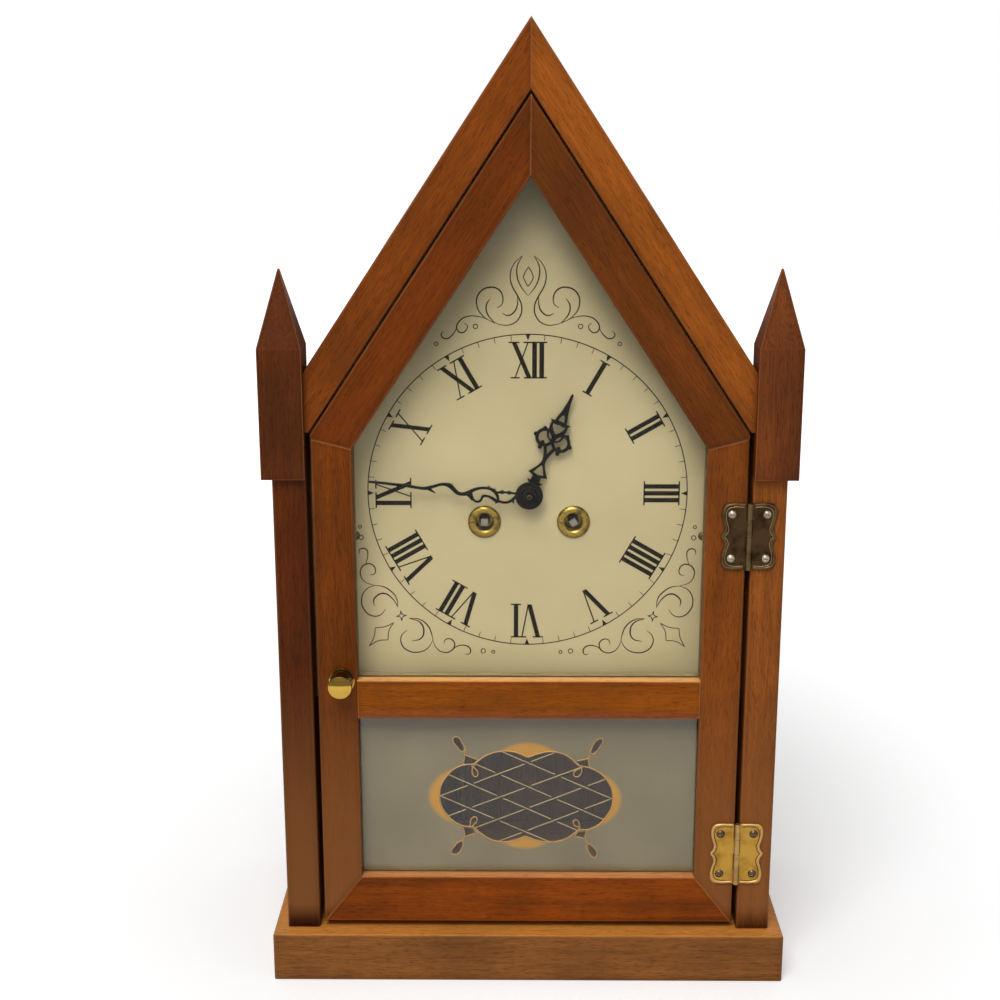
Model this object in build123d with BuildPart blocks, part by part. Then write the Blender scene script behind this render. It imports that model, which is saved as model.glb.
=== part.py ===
from build123d import *
import os
from math import acos, atan2, cos, degrees, pi, radians, sin, sqrt, tan

# Steeple shelf clock. Lengths are in millimetres. The origin is the centre of the base's underside,
# +Z is up and the front faces -Y. Depths are measured back from the face of the front frame.

# Overall size of the case
clock_height = 432.0
roof_pitch = 56.3
base_width = 237.4
base_depth = 127.0
base_height = 23.0
base_front_ledge = 7.4
base_back_ledge = 3.0

# Front frame: columns, finials and gable rails
column_inner = 97.4
column_width = 15.0
front_frame_depth = 14.3
gable_rail_width = 16.0
gable_heel = 95.6
finial_drop = 20.4
finial_block_height = 57.1
finial_block_width = 19.1
finial_spire_height = 33.2
finial_spire_tip = 0.8
finial_proud = 3.5

# Carcass behind the front frame
panel_thickness = 9.5
back_panel_thickness = 4.0
rabbet_width = 5.0
panel_clearance = 0.1
base_round = 1.2
sound_hole_radius = 4.5
sound_ring_radius = 22.0
sound_hole_count = 8
sound_hole_height = 92.0
frame_round = 1.0

# Door
door_side_gap = 2.4
door_gable_gap = 0.9
door_foot_gap = 3.2
door_thickness = 12.7
stile_width = 17.7
rafter_width = 18.5
bottom_rail_width = 22.8
middle_rail_drop = 101.1
middle_rail_width = 18.2
eave_joint_rise = 4.6
door_round = 0.8
glass_depth = 5.5
glass_thickness = 2.0
glass_lap = 4.0
glass_clearance = 0.3
bead_thickness = 4.0
bead_joint = 0.1

# Hinges, knob and catch
hinge_height = 30.0
hinge_leaf_width = 12.2
hinge_leaf_thickness = 0.9
hinge_barrel_radius = 1.3
hinge_pin_radius = 0.65
hinge_pin_clearance = 0.03
hinge_knuckles = 4
hinge_knuckle_gap = 0.2
upper_hinge_gap = 10.8
lower_hinge_gap = 23.7
hinge_screw_out = 7.6
hinge_screw_up = 10.0
knob_out = 84.0
knob_rise = 18.7
knob_length = 11.0
knob_radius = 5.2
knob_flange_radius = 5.8
knob_flange = 1.4
knob_neck_radius = 4.6
knob_neck_end = 2.4
knob_dome = 0.7
knob_stem_radius = 1.6
knob_stem_length = 8.0
strike_thickness = 1.0
strike_width = 8.0
strike_height = 24.0
catch_rise = 22.4

# Dial and the board behind it
dial_depth = 17.6
dial_thickness = 0.8
dial_half_width = 84.0
dial_foot_drop = 97.7
dial_board_thickness = 6.0
dial_drop = 203.3
dial_centre_hole = 4.5
winding_out = 20.0
winding_down = 13.3
winding_hole = 4.5
grommet_radius = 7.5
grommet_bore = 4.0
grommet_height = 1.4
grommet_slit = 0.6
grommet_clearance = 0.05
dial_screw_out = 78.1
dial_screw_down = 19.8

# Screws: small round-head brass or bronze, and larger steel
small_head_radius = 2.0
small_head_height = 1.2
small_shank_radius = 1.0
small_shank_length = 5.0
small_slot = 0.45
steel_head_radius = 3.0
steel_head_height = 1.8
steel_shank_radius = 1.4
steel_shank_length = 6.2
steel_slot = 0.7
screw_clearance = 0.05
screw_tip = 1.5

# Hands, drawn along their own length
minute_angle = 274.7
hour_angle = 22.9
minute_length = 71.4
hour_length = 49.1
hand_thickness = 0.8
hour_ring_width = 1.4
hour_hand_lift = 2.0
hand_spacing = 1.9
minute_hub_radius = 6.2
minute_boss_radius = 4.2
minute_boss_height = 0.7
hour_hub_radius = 4.6
hour_collet_radius = 3.6
hour_collet_height = 1.0
nut_radius = 2.9
nut_height = 2.0
arbor_past_nut = 0.4
cannon_short = 0.1
pipe_past_hand = 0.4
fit_clearance = 0.05

# Movement plates
plate_thickness = 1.5
plate_gap = 26.0
front_plate_half_width = 54.0
back_plate_half_width = 48.0
plate_below = 44.0
plate_above = 48.0
pillar_radius = 3.2
pillar_out = 42.0
pillar_below = 37.0
pillar_above = 41.0
pillar_screw_radius = 1.5
pillar_nut_radius = 3.0
pillar_nut_height = 2.4
plate_screw_out = 51.0
plate_screw_below = 40.0
plate_screw_above = 44.0

# Wheels: tooth counts, modules and arbors
barrel_teeth = 62
second_pinion_teeth = 10
second_wheel_teeth = 60
centre_pinion_teeth = 10
train_module = 0.6
centre_wheel_teeth = 64
third_pinion_teeth = 8
centre_module = 0.5
third_wheel_teeth = 60
escape_pinion_teeth = 8
third_module = 0.4
cannon_teeth = 10
minute_wheel_teeth = 30
minute_pinion_teeth = 8
hour_wheel_teeth = 32
motion_module = 0.7
ratchet_teeth = 18
ratchet_radius = 6.5
ratchet_tooth = 1.1
escape_teeth = 15
escape_radius = 6.5
escape_tooth = 1.8
wheel_thickness = 1.2
third_direction = 105.0
escape_direction = 75.0
pallet_direction = 20.0
balance_direction = 5.0
pin_wheel_direction = 115.0
hammer_direction = 150.0
pallet_reach = 9.5
lever_reach = 12.0
balance_radius = 9.5
balance_rim = 1.6
balance_spoke = 1.2
balance_spoke_count = 3
pin_wheel_radius = 13.0
pin_circle = 11.0
pin_radius = 0.6
pin_length = 1.6
pin_count = 8
arbor_radius = 1.0
pivot_radius = 0.7
end_shake = 0.2
layer_gap = 0.6
winding_radius = 2.4
winding_square = 3.3
winding_square_length = 3.5
time_square_turn = 35.0
strike_square_turn = 0.0
barrel_wall = 0.9
barrel_length = 18.0
barrel_gear_thickness = 2.0
barrel_core_radius = 4.5
barrel_core_gap = 0.6
tooth_clearance = 0.9
pressure_angle = 20.0
tooth_thinning_share = 0.14
addendum_share = 0.85
dedendum_share = 1.2
crossing_out_share = 0.58
crossing_hole_share = 0.24
crossing_count = 5
cannon_radius = 1.9
pipe_radius = 2.9
stud_radius = 1.2
motion_stud_length = 4.6
cannon_gear_gap = 0.4
cannon_gear_length = 1.6
minute_wheel_gap = 0.6
hour_wheel_gap = 2.8
minute_pinion_length = 2.6
third_wheel_depth = 5.2
escape_depth = 10.2
balance_depth = 14.2
escape_hub_radius = 2.0
pallet_band = 1.4
pallet_gap = 0.7
pallet_spread = 50.0
lever_width = 1.4
staff_gap = 0.6

# Gong and hammer
gong_block_width = 26.0
gong_block_height = 24.0
gong_block_depth = 20.0
gong_block_gap = 4.0
gong_block_inner = -12.0
gong_rod_radius = 1.75
gong_rod_rise = 9.0
gong_rod_seat = 12.0
gong_rod_back = 13.6
gong_screw_spacing = 14.0
hammer_reach = 17.0
hammer_tail = 4.6
hammer_tail_width = 1.6
hammer_tail_thickness = 1.2
hammer_tail_gap = 0.4
hammer_hub_radius = 2.0
hammer_arm_length = 123.0
hammer_arm_radius = 1.0
hammer_head_radius = 3.5
hammer_head_length = 14.0
hammer_gap = 0.8

# Sizes that follow from the ones above
slope = tan(radians(roof_pitch))
rise = 1 / cos(radians(roof_pitch))
front_y = -base_depth / 2 + base_front_ledge
case_back = base_depth - base_front_ledge - base_back_ledge
case_outer = column_inner + column_width
case_inner = case_outer - panel_thickness
inner_apex = clock_height - panel_thickness * rise
gable_inner_apex = clock_height - gable_rail_width * rise
gable_heel_height = gable_inner_apex - slope * gable_heel
finial_bottom = gable_heel_height - finial_drop
case_eave = clock_height - slope * case_outer
case_inner_eave = inner_apex - slope * case_inner
dial_centre = clock_height - dial_drop
dial_bottom = dial_centre - dial_foot_drop
middle_rail_bottom = dial_centre - middle_rail_drop
knob_up = middle_rail_bottom + knob_rise
catch_bottom = middle_rail_bottom + catch_rise
door_half_width = column_inner - door_side_gap
door_apex = gable_inner_apex - door_gable_gap * rise
door_foot = base_height + door_foot_gap
light_half_width = door_half_width - stile_width
light_apex = door_apex - rafter_width * rise
light_eave = light_apex - slope * light_half_width
tablet_bottom = door_foot + bottom_rail_width
hinge_x = (column_inner + door_half_width) / 2
plate_front = dial_depth + dial_thickness + dial_board_thickness
plate_inside = plate_front + plate_thickness
back_plate_front = plate_inside + plate_gap
back_plate_back = back_plate_front + plate_thickness

os.makedirs("parts", exist_ok=True)


def save(piece, label):
    piece.part.label = label
    export_step(piece.part, f"parts/{label}.step")


def behind(depth):
    """Plane parallel to the front frame's face, this far behind it, facing the viewer."""
    return Plane.XZ.offset(-(front_y + depth))


def fill(points):
    Polygon(*points, align=None)


def house(half_width, apex, foot):
    eave = apex - slope * half_width
    return [(-half_width, foot), (half_width, foot), (half_width, eave), (0, apex), (-half_width, eave)]


def dial_light(grow):
    """The door's upper opening, grown on every side."""
    foot = middle_rail_bottom + middle_rail_width - grow
    return house(light_half_width + grow, light_apex + grow * rise, foot)


def tablet_light(grow):
    """The door's lower opening, grown on every side."""
    half, foot, top = light_half_width + grow, tablet_bottom - grow, middle_rail_bottom + grow
    return [(-half, foot), (half, foot), (half, top), (-half, top)]


def round_long_edges(piece, radius):
    """Ease the two longest arrises of a rail's front face."""
    front = piece.faces().sort_by(Axis.Y)[0]
    fillet(front.edges().sort_by(SortBy.LENGTH)[-2:], radius=radius)


def drill(places, radius, depth):
    """Blind or through holes along Y, from each place on the surface."""
    with Locations(*places):
        Cylinder(radius, 2 * depth, rotation=(90, 0, 0), mode=Mode.SUBTRACT)


def dome_middle(radius, height):
    """Radius and drop from the crown, half way out on a spherical dome."""
    sphere = (radius**2 + height**2) / (2 * height)
    return radius / 2, sphere - sqrt(sphere**2 - radius**2 / 4)


def round_head_screw(head_radius, head_height, shank_radius, shank_length, slot):
    """A slotted round-head wood screw along +Y, with the underside of its head at the origin."""
    half_out, drop = dome_middle(head_radius, head_height)
    with BuildPart() as screw:
        with BuildSketch(Plane.XY):
            with BuildLine():
                Polyline((0, -head_height), (0, shank_length), (shank_radius, shank_length - screw_tip),
                         (shank_radius, 0), (head_radius, 0))
                ThreePointArc((head_radius, 0), (half_out, drop - head_height), (0, -head_height))
            make_face()
        revolve(axis=Axis.Y)
        with Locations((0, -head_height, 0)):
            Box(2 * head_radius, head_height, slot, mode=Mode.SUBTRACT)
    return screw.part


small_screw = round_head_screw(small_head_radius, small_head_height, small_shank_radius,
                               small_shank_length, small_slot)
steel_screw = round_head_screw(steel_head_radius, steel_head_height, steel_shank_radius,
                               steel_shank_length, steel_slot)

# Wheel train, seen from the front: each arbor is a point (x, z), and each pair of wheels is in mesh
def travel(start, distance, direction):
    angle = radians(direction)
    return start[0] + distance * cos(angle), start[1] + distance * sin(angle)


def bearing(start, end):
    return degrees(atan2(end[1] - start[1], end[0] - start[0]))


def mesh_distance(module, wheel, pinion):
    return module * (wheel + pinion) / 2


centre = (0, dial_centre)
time_place = (winding_out, dial_centre - winding_down)
strike_place = (-winding_out, dial_centre - winding_down)
barrel_mesh = mesh_distance(train_module, barrel_teeth, second_pinion_teeth)
centre_mesh = mesh_distance(train_module, second_wheel_teeth, centre_pinion_teeth)
motion_distance = mesh_distance(motion_module, cannon_teeth, minute_wheel_teeth)
winding_reach = sqrt(winding_out**2 + winding_down**2)
second_turn = acos((centre_mesh**2 + winding_reach**2 - barrel_mesh**2)
                   / (2 * centre_mesh * winding_reach))
second_place = travel(centre, centre_mesh, bearing(centre, time_place) + degrees(second_turn))
third_place = travel(centre, mesh_distance(centre_module, centre_wheel_teeth, third_pinion_teeth),
                     third_direction)
escape_place = travel(third_place, mesh_distance(third_module, third_wheel_teeth, escape_pinion_teeth),
                      escape_direction)
pallet_place = travel(escape_place, pallet_reach, pallet_direction)
balance_place = travel(pallet_place, lever_reach, balance_direction)
pin_wheel_place = travel(strike_place, barrel_mesh, pin_wheel_direction)
hammer_place = travel(pin_wheel_place, hammer_reach, hammer_direction)
minute_wheel_place = travel(centre, motion_distance, 90)

# Places of the fasteners, each on the surface that its head bears on
leaf_face = front_y - hinge_leaf_thickness
hinge_heights = {"upper": finial_bottom - upper_hinge_gap - hinge_height / 2,
                 "lower": base_height + lower_hinge_gap + hinge_height / 2}


def hinge_screws(side):
    return [(hinge_x + side * hinge_screw_out, leaf_face, height + up * hinge_screw_up)
            for height in hinge_heights.values() for up in (-1, 1)]


dial_screw_places = [(side * dial_screw_out, front_y + dial_depth, dial_centre - dial_screw_down)
                     for side in (-1, 1)]
rabbet_middle = case_inner + rabbet_width / 2
back_screw_heights_share = (0.12, 0.52, 0.92)
back_screw_roof_share = (0.35, 0.75)
back_screw_places = [(side * rabbet_middle, base_height + (case_inner_eave - base_height) * share)
                     for side in (-1, 1) for share in back_screw_heights_share]
back_screw_places += [(side * case_inner * share,
                       inner_apex + rabbet_width / 2 * rise - slope * case_inner * share)
                      for side in (-1, 1) for share in back_screw_roof_share]
gong_x = gong_block_inner - gong_block_width / 2
head_height = hammer_place[1] - hammer_arm_length
gong_block_bottom = head_height + hammer_head_radius + gong_block_gap
gong_middle = gong_block_bottom + gong_block_height / 2
gong_screw_places = [(gong_x + side * gong_screw_spacing / 2, gong_middle) for side in (-1, 1)]
plate_screw_places = [(side * plate_screw_out, dial_centre + up)
                      for side in (-1, 1) for up in (-plate_screw_below, plate_screw_above)]
pillar_places = [(side * pillar_out, dial_centre + up)
                 for side in (-1, 1) for up in (-pillar_below, pillar_above)]
case_back_y = front_y + case_back
plate_inside_y = front_y + plate_inside

# Base: one solid plinth with eased edges
with BuildPart() as base_plinth:
    with BuildSketch(Plane.XY):
        Rectangle(base_width, base_depth)
    extrude(amount=base_height)
    fillet(base_plinth.edges().filter_by(Axis.Z), radius=base_round)
    fillet(base_plinth.faces().sort_by(Axis.Z)[-1].edges(), radius=base_round)
save(base_plinth, "base_plinth")

# Carcass: side and roof panels, mitred at the eaves and the ridge, rabbeted for the back panel
back_shoulder = back_panel_thickness + screw_clearance
for side, hand in ((-1, "left"), (1, "right")):
    wall = [(side * case_outer, base_height), (side * case_outer, case_eave),
            (side * case_inner, case_inner_eave), (side * case_inner, base_height)]
    roof = [(side * case_outer, case_eave), (0, clock_height), (0, inner_apex),
            (side * case_inner, case_inner_eave)]
    for outline, name in ((wall, "side"), (roof, "roof")):
        with BuildPart() as panel:
            with BuildSketch(behind(case_back)):
                fill(outline)
            extrude(amount=case_back - front_frame_depth)
            with BuildSketch(behind(case_back)):
                fill(house(case_inner + rabbet_width, inner_apex + rabbet_width * rise, base_height))
            extrude(amount=back_panel_thickness, mode=Mode.SUBTRACT)
            drill([(x, case_back_y, z) for x, z in back_screw_places],
                  steel_shank_radius + screw_clearance, steel_shank_length + screw_clearance)
        save(panel, f"{hand}_{name}_panel")

# Front frame: gable rails mitred at the peak, columns and steeple finials
finial_shoulder = finial_bottom + finial_block_height
finial_depth = front_frame_depth + finial_proud
finial_middle_y = front_y + (front_frame_depth - finial_proud) / 2
for side, hand in ((-1, "left"), (1, "right")):
    with BuildPart() as gable_rail:
        with BuildSketch(behind(front_frame_depth)):
            fill([(0, clock_height), (side * column_inner, clock_height - slope * column_inner),
                  (side * column_inner, gable_heel_height), (side * gable_heel, gable_heel_height),
                  (0, gable_inner_apex)])
        extrude(amount=front_frame_depth)
        round_long_edges(gable_rail, frame_round)
    save(gable_rail, f"{hand}_gable_rail")

    column_x = side * (column_inner + column_width / 2)
    with BuildPart() as column:
        with BuildSketch(Plane.XY.offset(base_height)):
            with Locations((column_x, front_y + front_frame_depth / 2)):
                Rectangle(column_width, front_frame_depth)
        extrude(amount=finial_bottom - base_height)
        round_long_edges(column, frame_round)
        if side > 0:
            drill([(x, front_y, z) for x, face, z in hinge_screws(side)],
                  small_shank_radius + screw_clearance, small_shank_length)
    save(column, f"{hand}_column")

    finial_place = (side * (column_inner + finial_block_width / 2), finial_middle_y)
    with BuildPart() as finial:
        with BuildSketch(Plane.XY.offset(finial_bottom)):
            with Locations(finial_place):
                Rectangle(finial_block_width, finial_depth)
        extrude(amount=finial_block_height)
        with BuildSketch(Plane.XY.offset(finial_shoulder)):
            with Locations(finial_place):
                Rectangle(finial_block_width, finial_depth)
        with BuildSketch(Plane.XY.offset(finial_shoulder + finial_spire_height)):
            with Locations(finial_place):
                Rectangle(finial_spire_tip, finial_spire_tip)
        loft()
    save(finial, f"{hand}_finial")

# Back panel: plywood in the rabbet, with a ring of sound holes
back_half_width = case_inner + rabbet_width - panel_clearance
back_apex = inner_apex + (rabbet_width - panel_clearance) * rise
with BuildPart() as back_panel:
    with BuildSketch(behind(case_back)):
        fill(house(back_half_width, back_apex, base_height))
        with Locations((0, sound_hole_height)):
            Circle(sound_hole_radius, mode=Mode.SUBTRACT)
            with PolarLocations(sound_ring_radius, sound_hole_count):
                Circle(sound_hole_radius, mode=Mode.SUBTRACT)
    extrude(amount=back_panel_thickness)
    drill([(x, case_back_y, z) for x, z in back_screw_places + gong_screw_places],
          steel_shank_radius + screw_clearance, back_shoulder)
save(back_panel, "back_panel")

# Dial board: plywood across the case, cut away for the motion work and the winding arbors
hour_wheel_outer = motion_module * hour_wheel_teeth / 2 + motion_module
minute_wheel_outer = motion_module * minute_wheel_teeth / 2 + motion_module
winding_places = [(side * winding_out, dial_centre - winding_down) for side in (-1, 1)]
board_back_y = front_y + plate_front
dial_back_y = front_y + dial_depth + dial_thickness
with BuildPart() as dial_board:
    with BuildSketch(behind(plate_front)):
        fill(house(case_inner - panel_clearance, inner_apex - panel_clearance * rise, dial_bottom))
        with Locations((0, dial_centre)):
            Circle(hour_wheel_outer + tooth_clearance, mode=Mode.SUBTRACT)
        with Locations((0, dial_centre + motion_distance)):
            Circle(minute_wheel_outer + tooth_clearance, mode=Mode.SUBTRACT)
        with Locations(*winding_places):
            Circle(winding_hole, mode=Mode.SUBTRACT)
    extrude(amount=dial_board_thickness)
    drill([(x, board_back_y, z) for x, z in plate_screw_places],
          steel_shank_radius + screw_clearance, steel_shank_length - plate_thickness + screw_clearance)
    drill([(x, dial_back_y, z) for x, face, z in dial_screw_places],
          small_shank_radius + screw_clearance, small_shank_length - dial_thickness + screw_clearance)
save(dial_board, "dial_board")

# Dial: printed metal plate with the hands' hole and two winding holes
dial_apex = inner_apex - (case_inner - dial_half_width) * rise
with BuildPart() as dial_plate:
    with BuildSketch(behind(dial_depth + dial_thickness)):
        fill(house(dial_half_width, dial_apex, dial_bottom))
        with Locations((0, dial_centre)):
            Circle(dial_centre_hole, mode=Mode.SUBTRACT)
        with Locations(*winding_places):
            Circle(winding_hole, mode=Mode.SUBTRACT)
    extrude(amount=dial_thickness)
    drill(dial_screw_places, small_shank_radius + screw_clearance, 2 * dial_thickness)
save(dial_plate, "dial_plate")

with BuildPart() as dial_screws:
    with Locations(*dial_screw_places):
        add(small_screw)
save(dial_screws, "dial_screws")

# Winding grommets: split brass rings pressed into the dial from the front
grommet_collar = winding_hole - grommet_clearance
grommet_crown = (grommet_radius + grommet_bore) / 2
grommet_profile = [(grommet_bore, -grommet_height / 2), (grommet_bore, dial_thickness),
                   (grommet_collar, dial_thickness), (grommet_collar, 0), (grommet_radius, 0)]
with BuildPart() as grommet_ring:
    with BuildSketch(Plane.XY):
        with BuildLine():
            Polyline(*grommet_profile)
            ThreePointArc((grommet_radius, 0), (grommet_crown, -grommet_height),
                          (grommet_bore, -grommet_height / 2))
        make_face()
    revolve(axis=Axis.Y)
    with Locations((-grommet_crown, -grommet_height, 0)):
        Box(grommet_radius - grommet_bore, grommet_height, grommet_slit, mode=Mode.SUBTRACT)
with BuildPart() as winding_grommets:
    with Locations(*[(x, front_y + dial_depth, z) for x, z in winding_places]):
        add(grommet_ring.part)
save(winding_grommets, "winding_grommets")

# Hinges: two scalloped leaves with alternate knuckles round one pin
leaf_outline_shares = ((0.72, 1.0), (0.91, 0.93), (0.98, 0.72), (0.93, 0.46), (0.87, 0.27), (0.92, 0.1),
                       (1.0, 0.0))
barrel_y = front_y - hinge_barrel_radius
knuckle_pitch = hinge_height / hinge_knuckles
knuckle_reach = hinge_barrel_radius + hinge_knuckle_gap
for place, height in hinge_heights.items():
    for side, owner in ((1, "case"), (-1, "door")):
        with BuildPart() as leaf:
            with BuildSketch(behind(0)):
                with BuildLine():
                    for up in (1, -1):
                        edge = [(hinge_x + side * hinge_leaf_width * x, height + up * hinge_height / 2 * z)
                                for x, z in leaf_outline_shares]
                        Spline(*edge)
                        Line((hinge_x, height + up * hinge_height / 2), edge[0])
                    Line((hinge_x, height + hinge_height / 2), (hinge_x, height - hinge_height / 2))
                make_face()
            extrude(amount=hinge_leaf_thickness)
            with BuildSketch(Plane.XY.offset(height - hinge_height / 2)):
                with Locations((hinge_x, barrel_y)):
                    Circle(hinge_barrel_radius)
            extrude(amount=hinge_height)
            for knuckle in range(hinge_knuckles):
                other_leaf = knuckle % 2 == (0 if side > 0 else 1)
                if other_leaf:
                    notch_width = knuckle_reach + hinge_barrel_radius
                    with Locations((hinge_x + side * (knuckle_reach - notch_width / 2), barrel_y,
                                    height + (knuckle + 1 / 2) * knuckle_pitch - hinge_height / 2)):
                        Box(notch_width, 2 * knuckle_reach, knuckle_pitch + hinge_knuckle_gap,
                            mode=Mode.SUBTRACT)
            with Locations((hinge_x, barrel_y, height)):
                Cylinder(hinge_pin_radius + hinge_pin_clearance, hinge_height, mode=Mode.SUBTRACT)
            drill(hinge_screws(side), small_shank_radius + screw_clearance, 2 * hinge_leaf_thickness)
        save(leaf, f"{place}_hinge_{owner}_leaf")

with BuildPart() as hinge_pins:
    with Locations(*[(hinge_x, barrel_y, height) for height in hinge_heights.values()]):
        Cylinder(hinge_pin_radius, hinge_height)
save(hinge_pins, "hinge_pins")

for side, owner in ((1, "case"), (-1, "door")):
    with BuildPart() as leaf_screws:
        with Locations(*hinge_screws(side)):
            add(small_screw)
    save(leaf_screws, f"{owner}_hinge_screws")

# Door frame: bottom rail mitred to the stiles, middle rail butted between them, rafters mitred at the
# peak, all rabbeted behind for the glass
eave_joint = (door_half_width, light_eave + eave_joint_rise)
door_eave = (door_half_width, door_apex - slope * door_half_width)


def on_side(side, points):
    return [(side * x, z) for x, z in points]


stile_outline = [(door_half_width, door_foot), (light_half_width, tablet_bottom),
                 (light_half_width, light_eave), eave_joint]
rafter_outline = [eave_joint, (light_half_width, light_eave), (0, light_apex), (0, door_apex), door_eave]
bottom_rail_outline = [(-door_half_width, door_foot), (door_half_width, door_foot),
                       (light_half_width, tablet_bottom), (-light_half_width, tablet_bottom)]
middle_rail_top = middle_rail_bottom + middle_rail_width
middle_rail_outline = [(-light_half_width, middle_rail_bottom), (light_half_width, middle_rail_bottom),
                       (light_half_width, middle_rail_top), (-light_half_width, middle_rail_top)]
door_frame = {"door_left_stile": on_side(-1, stile_outline), "door_right_stile": on_side(1, stile_outline),
              "door_left_rafter": on_side(-1, rafter_outline),
              "door_right_rafter": on_side(1, rafter_outline),
              "door_bottom_rail": bottom_rail_outline, "door_middle_rail": middle_rail_outline}
knob_place = (-knob_out, front_y, knob_up)
for name, outline in door_frame.items():
    with BuildPart() as rail:
        with BuildSketch(behind(door_thickness)):
            fill(outline)
        extrude(amount=door_thickness)
        round_long_edges(rail, door_round)
        with BuildSketch(behind(door_thickness)):
            fill(dial_light(glass_lap))
            fill(tablet_light(glass_lap))
        extrude(amount=door_thickness - glass_depth, mode=Mode.SUBTRACT)
        if name == "door_right_stile":
            drill([(x, front_y, z) for x, face, z in hinge_screws(-1)],
                  small_shank_radius + screw_clearance, small_shank_length)
        if name == "door_left_stile":
            drill([knob_place], knob_stem_radius + screw_clearance, knob_stem_length + screw_clearance)
    save(rail, name)

# Glass: the clear dial pane and the painted tablet pane, each held by mitred beads
glass_back = glass_depth + glass_thickness
for name, light in (("dial_glass", dial_light), ("tablet_glass", tablet_light)):
    with BuildPart() as pane:
        with BuildSketch(behind(glass_back)):
            fill(light(glass_lap - glass_clearance))
        extrude(amount=glass_thickness)
    save(pane, name)

with BuildPart() as glazing_beads:
    for light in (dial_light, tablet_light):
        outer, inner = [[Vector(x, z) for x, z in light(grow)] for grow in (glass_lap, 0)]
        with BuildSketch(behind(glass_back + bead_thickness)):
            for i, corner in enumerate(outer):
                after = (i + 1) % len(outer)
                joint = (outer[after] - corner).normalized() * bead_joint
                fill([corner + joint, outer[after] - joint, inner[after] - joint, inner[i] + joint])
        extrude(amount=bead_thickness)
save(glazing_beads, "glazing_beads")

# Knob: turned brass pull with a flange, a neck and a slightly domed barrel
half_out, drop = dome_middle(knob_radius, knob_dome)
with BuildPart() as door_knob:
    with BuildSketch(Plane(origin=knob_place)):
        with BuildLine():
            Polyline((0, -knob_length), (0, knob_stem_length), (knob_stem_radius, knob_stem_length),
                     (knob_stem_radius, 0), (knob_flange_radius, 0), (knob_flange_radius, -knob_flange),
                     (knob_neck_radius, -knob_flange), (knob_neck_radius, -knob_neck_end),
                     (knob_radius, -knob_neck_end), (knob_radius, knob_dome - knob_length))
            ThreePointArc((knob_radius, knob_dome - knob_length), (half_out, drop - knob_length),
                          (0, -knob_length))
        make_face()
    revolve(axis=Axis(knob_place, (0, 1, 0)))
save(door_knob, "door_knob")

# Catch: steel strike plate behind the left stile, and the magnet on the dial board that it meets
strike_x = -(door_half_width + light_half_width + glass_lap) / 2
strike_middle = catch_bottom + strike_height / 2
strike_back = door_thickness + strike_thickness
with BuildPart() as strike_plate:
    with BuildSketch(behind(strike_back)):
        with Locations((strike_x, strike_middle)):
            Rectangle(strike_width, strike_height)
    extrude(amount=strike_thickness)
save(strike_plate, "strike_plate")

with BuildPart() as magnet_catch:
    with BuildSketch(behind(dial_depth + dial_thickness)):
        with Locations((strike_x, strike_middle)):
            Rectangle(strike_width, strike_height)
    extrude(amount=dial_depth + dial_thickness - strike_back)
save(magnet_catch, "magnet_catch")

# Layers between the plates, as depths of each wheel's back face
first_layer = plate_inside + layer_gap + wheel_thickness
barrel_front = first_layer + 2 * layer_gap
barrel_back = barrel_front + barrel_length
second_layer = barrel_back + 2 * layer_gap + wheel_thickness
second_front = second_layer - wheel_thickness
third_layer = plate_inside + third_wheel_depth + wheel_thickness
escape_layer = plate_inside + escape_depth + wheel_thickness
balance_layer = plate_inside + balance_depth + wheel_thickness


def mating(teeth, direction):
    """Direction of one tooth of a wheel whose gap takes the tooth that points along direction."""
    return direction + 180 + 180 / teeth


def involute(angle):
    return tan(angle) - angle


def toothed(teeth, module, first_tooth):
    """Involute teeth thinned for running clearance; one tooth points along first_tooth, in degrees."""
    pitch = module * teeth / 2
    base = pitch * cos(radians(pressure_angle))
    root = pitch - dedendum_share * module
    tip = pitch + addendum_share * module
    half_pitch_tooth = pi * (1 - tooth_thinning_share) / (2 * teeth)
    flank = []
    for radius in (root, max(base, root), pitch, tip):
        pressure = acos(min(1, base / radius))
        flank.append((radius, half_pitch_tooth + involute(radians(pressure_angle)) - involute(pressure)))
    points = []
    for tooth in range(teeth):
        middle = radians(first_tooth) + 2 * pi * tooth / teeth
        points += [(r * cos(middle - half), r * sin(middle - half)) for r, half in flank]
        points += [(r * cos(middle + half), r * sin(middle + half)) for r, half in reversed(flank)]
    Polygon(*points, align=None)


def ratchet_outline(teeth, radius, depth):
    """Saw teeth: each climbs slowly and drops straight back."""
    points = []
    for tooth in range(teeth):
        start, end = 2 * pi * tooth / teeth, 2 * pi * (tooth + 1) / teeth
        points += [((radius - depth) * cos(start), (radius - depth) * sin(start)),
                   (radius * cos(end), radius * sin(end))]
    Polygon(*points, align=None)


def rod(place, front, back, radius, mode=Mode.ADD):
    """A round rod along Y at a place (x, z), between two depths."""
    with Locations((place[0], front_y + (front + back) / 2, place[1])):
        Cylinder(radius, back - front, rotation=(90, 0, 0), mode=mode)


def pivoted_arbor(place):
    """An arbor between the plates with a pivot in each."""
    rod(place, plate_front, back_plate_back, pivot_radius)
    rod(place, plate_inside + end_shake, back_plate_front - end_shake, arbor_radius)


def gear(place, teeth, module, first_tooth, front, back):
    """A toothed ring at a place (x, z), between two depths."""
    with BuildSketch(behind(back)) as outline:
        with Locations(place):
            toothed(teeth, module, first_tooth)
    extrude(outline.sketch, amount=back - front)


def cross_out(place, radius, front, back):
    """Round openings that lighten a wheel."""
    for hole in range(crossing_count):
        middle = travel(place, crossing_out_share * radius, 360 * hole / crossing_count)
        rod(middle, front, back, crossing_hole_share * radius, Mode.SUBTRACT)


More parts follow.
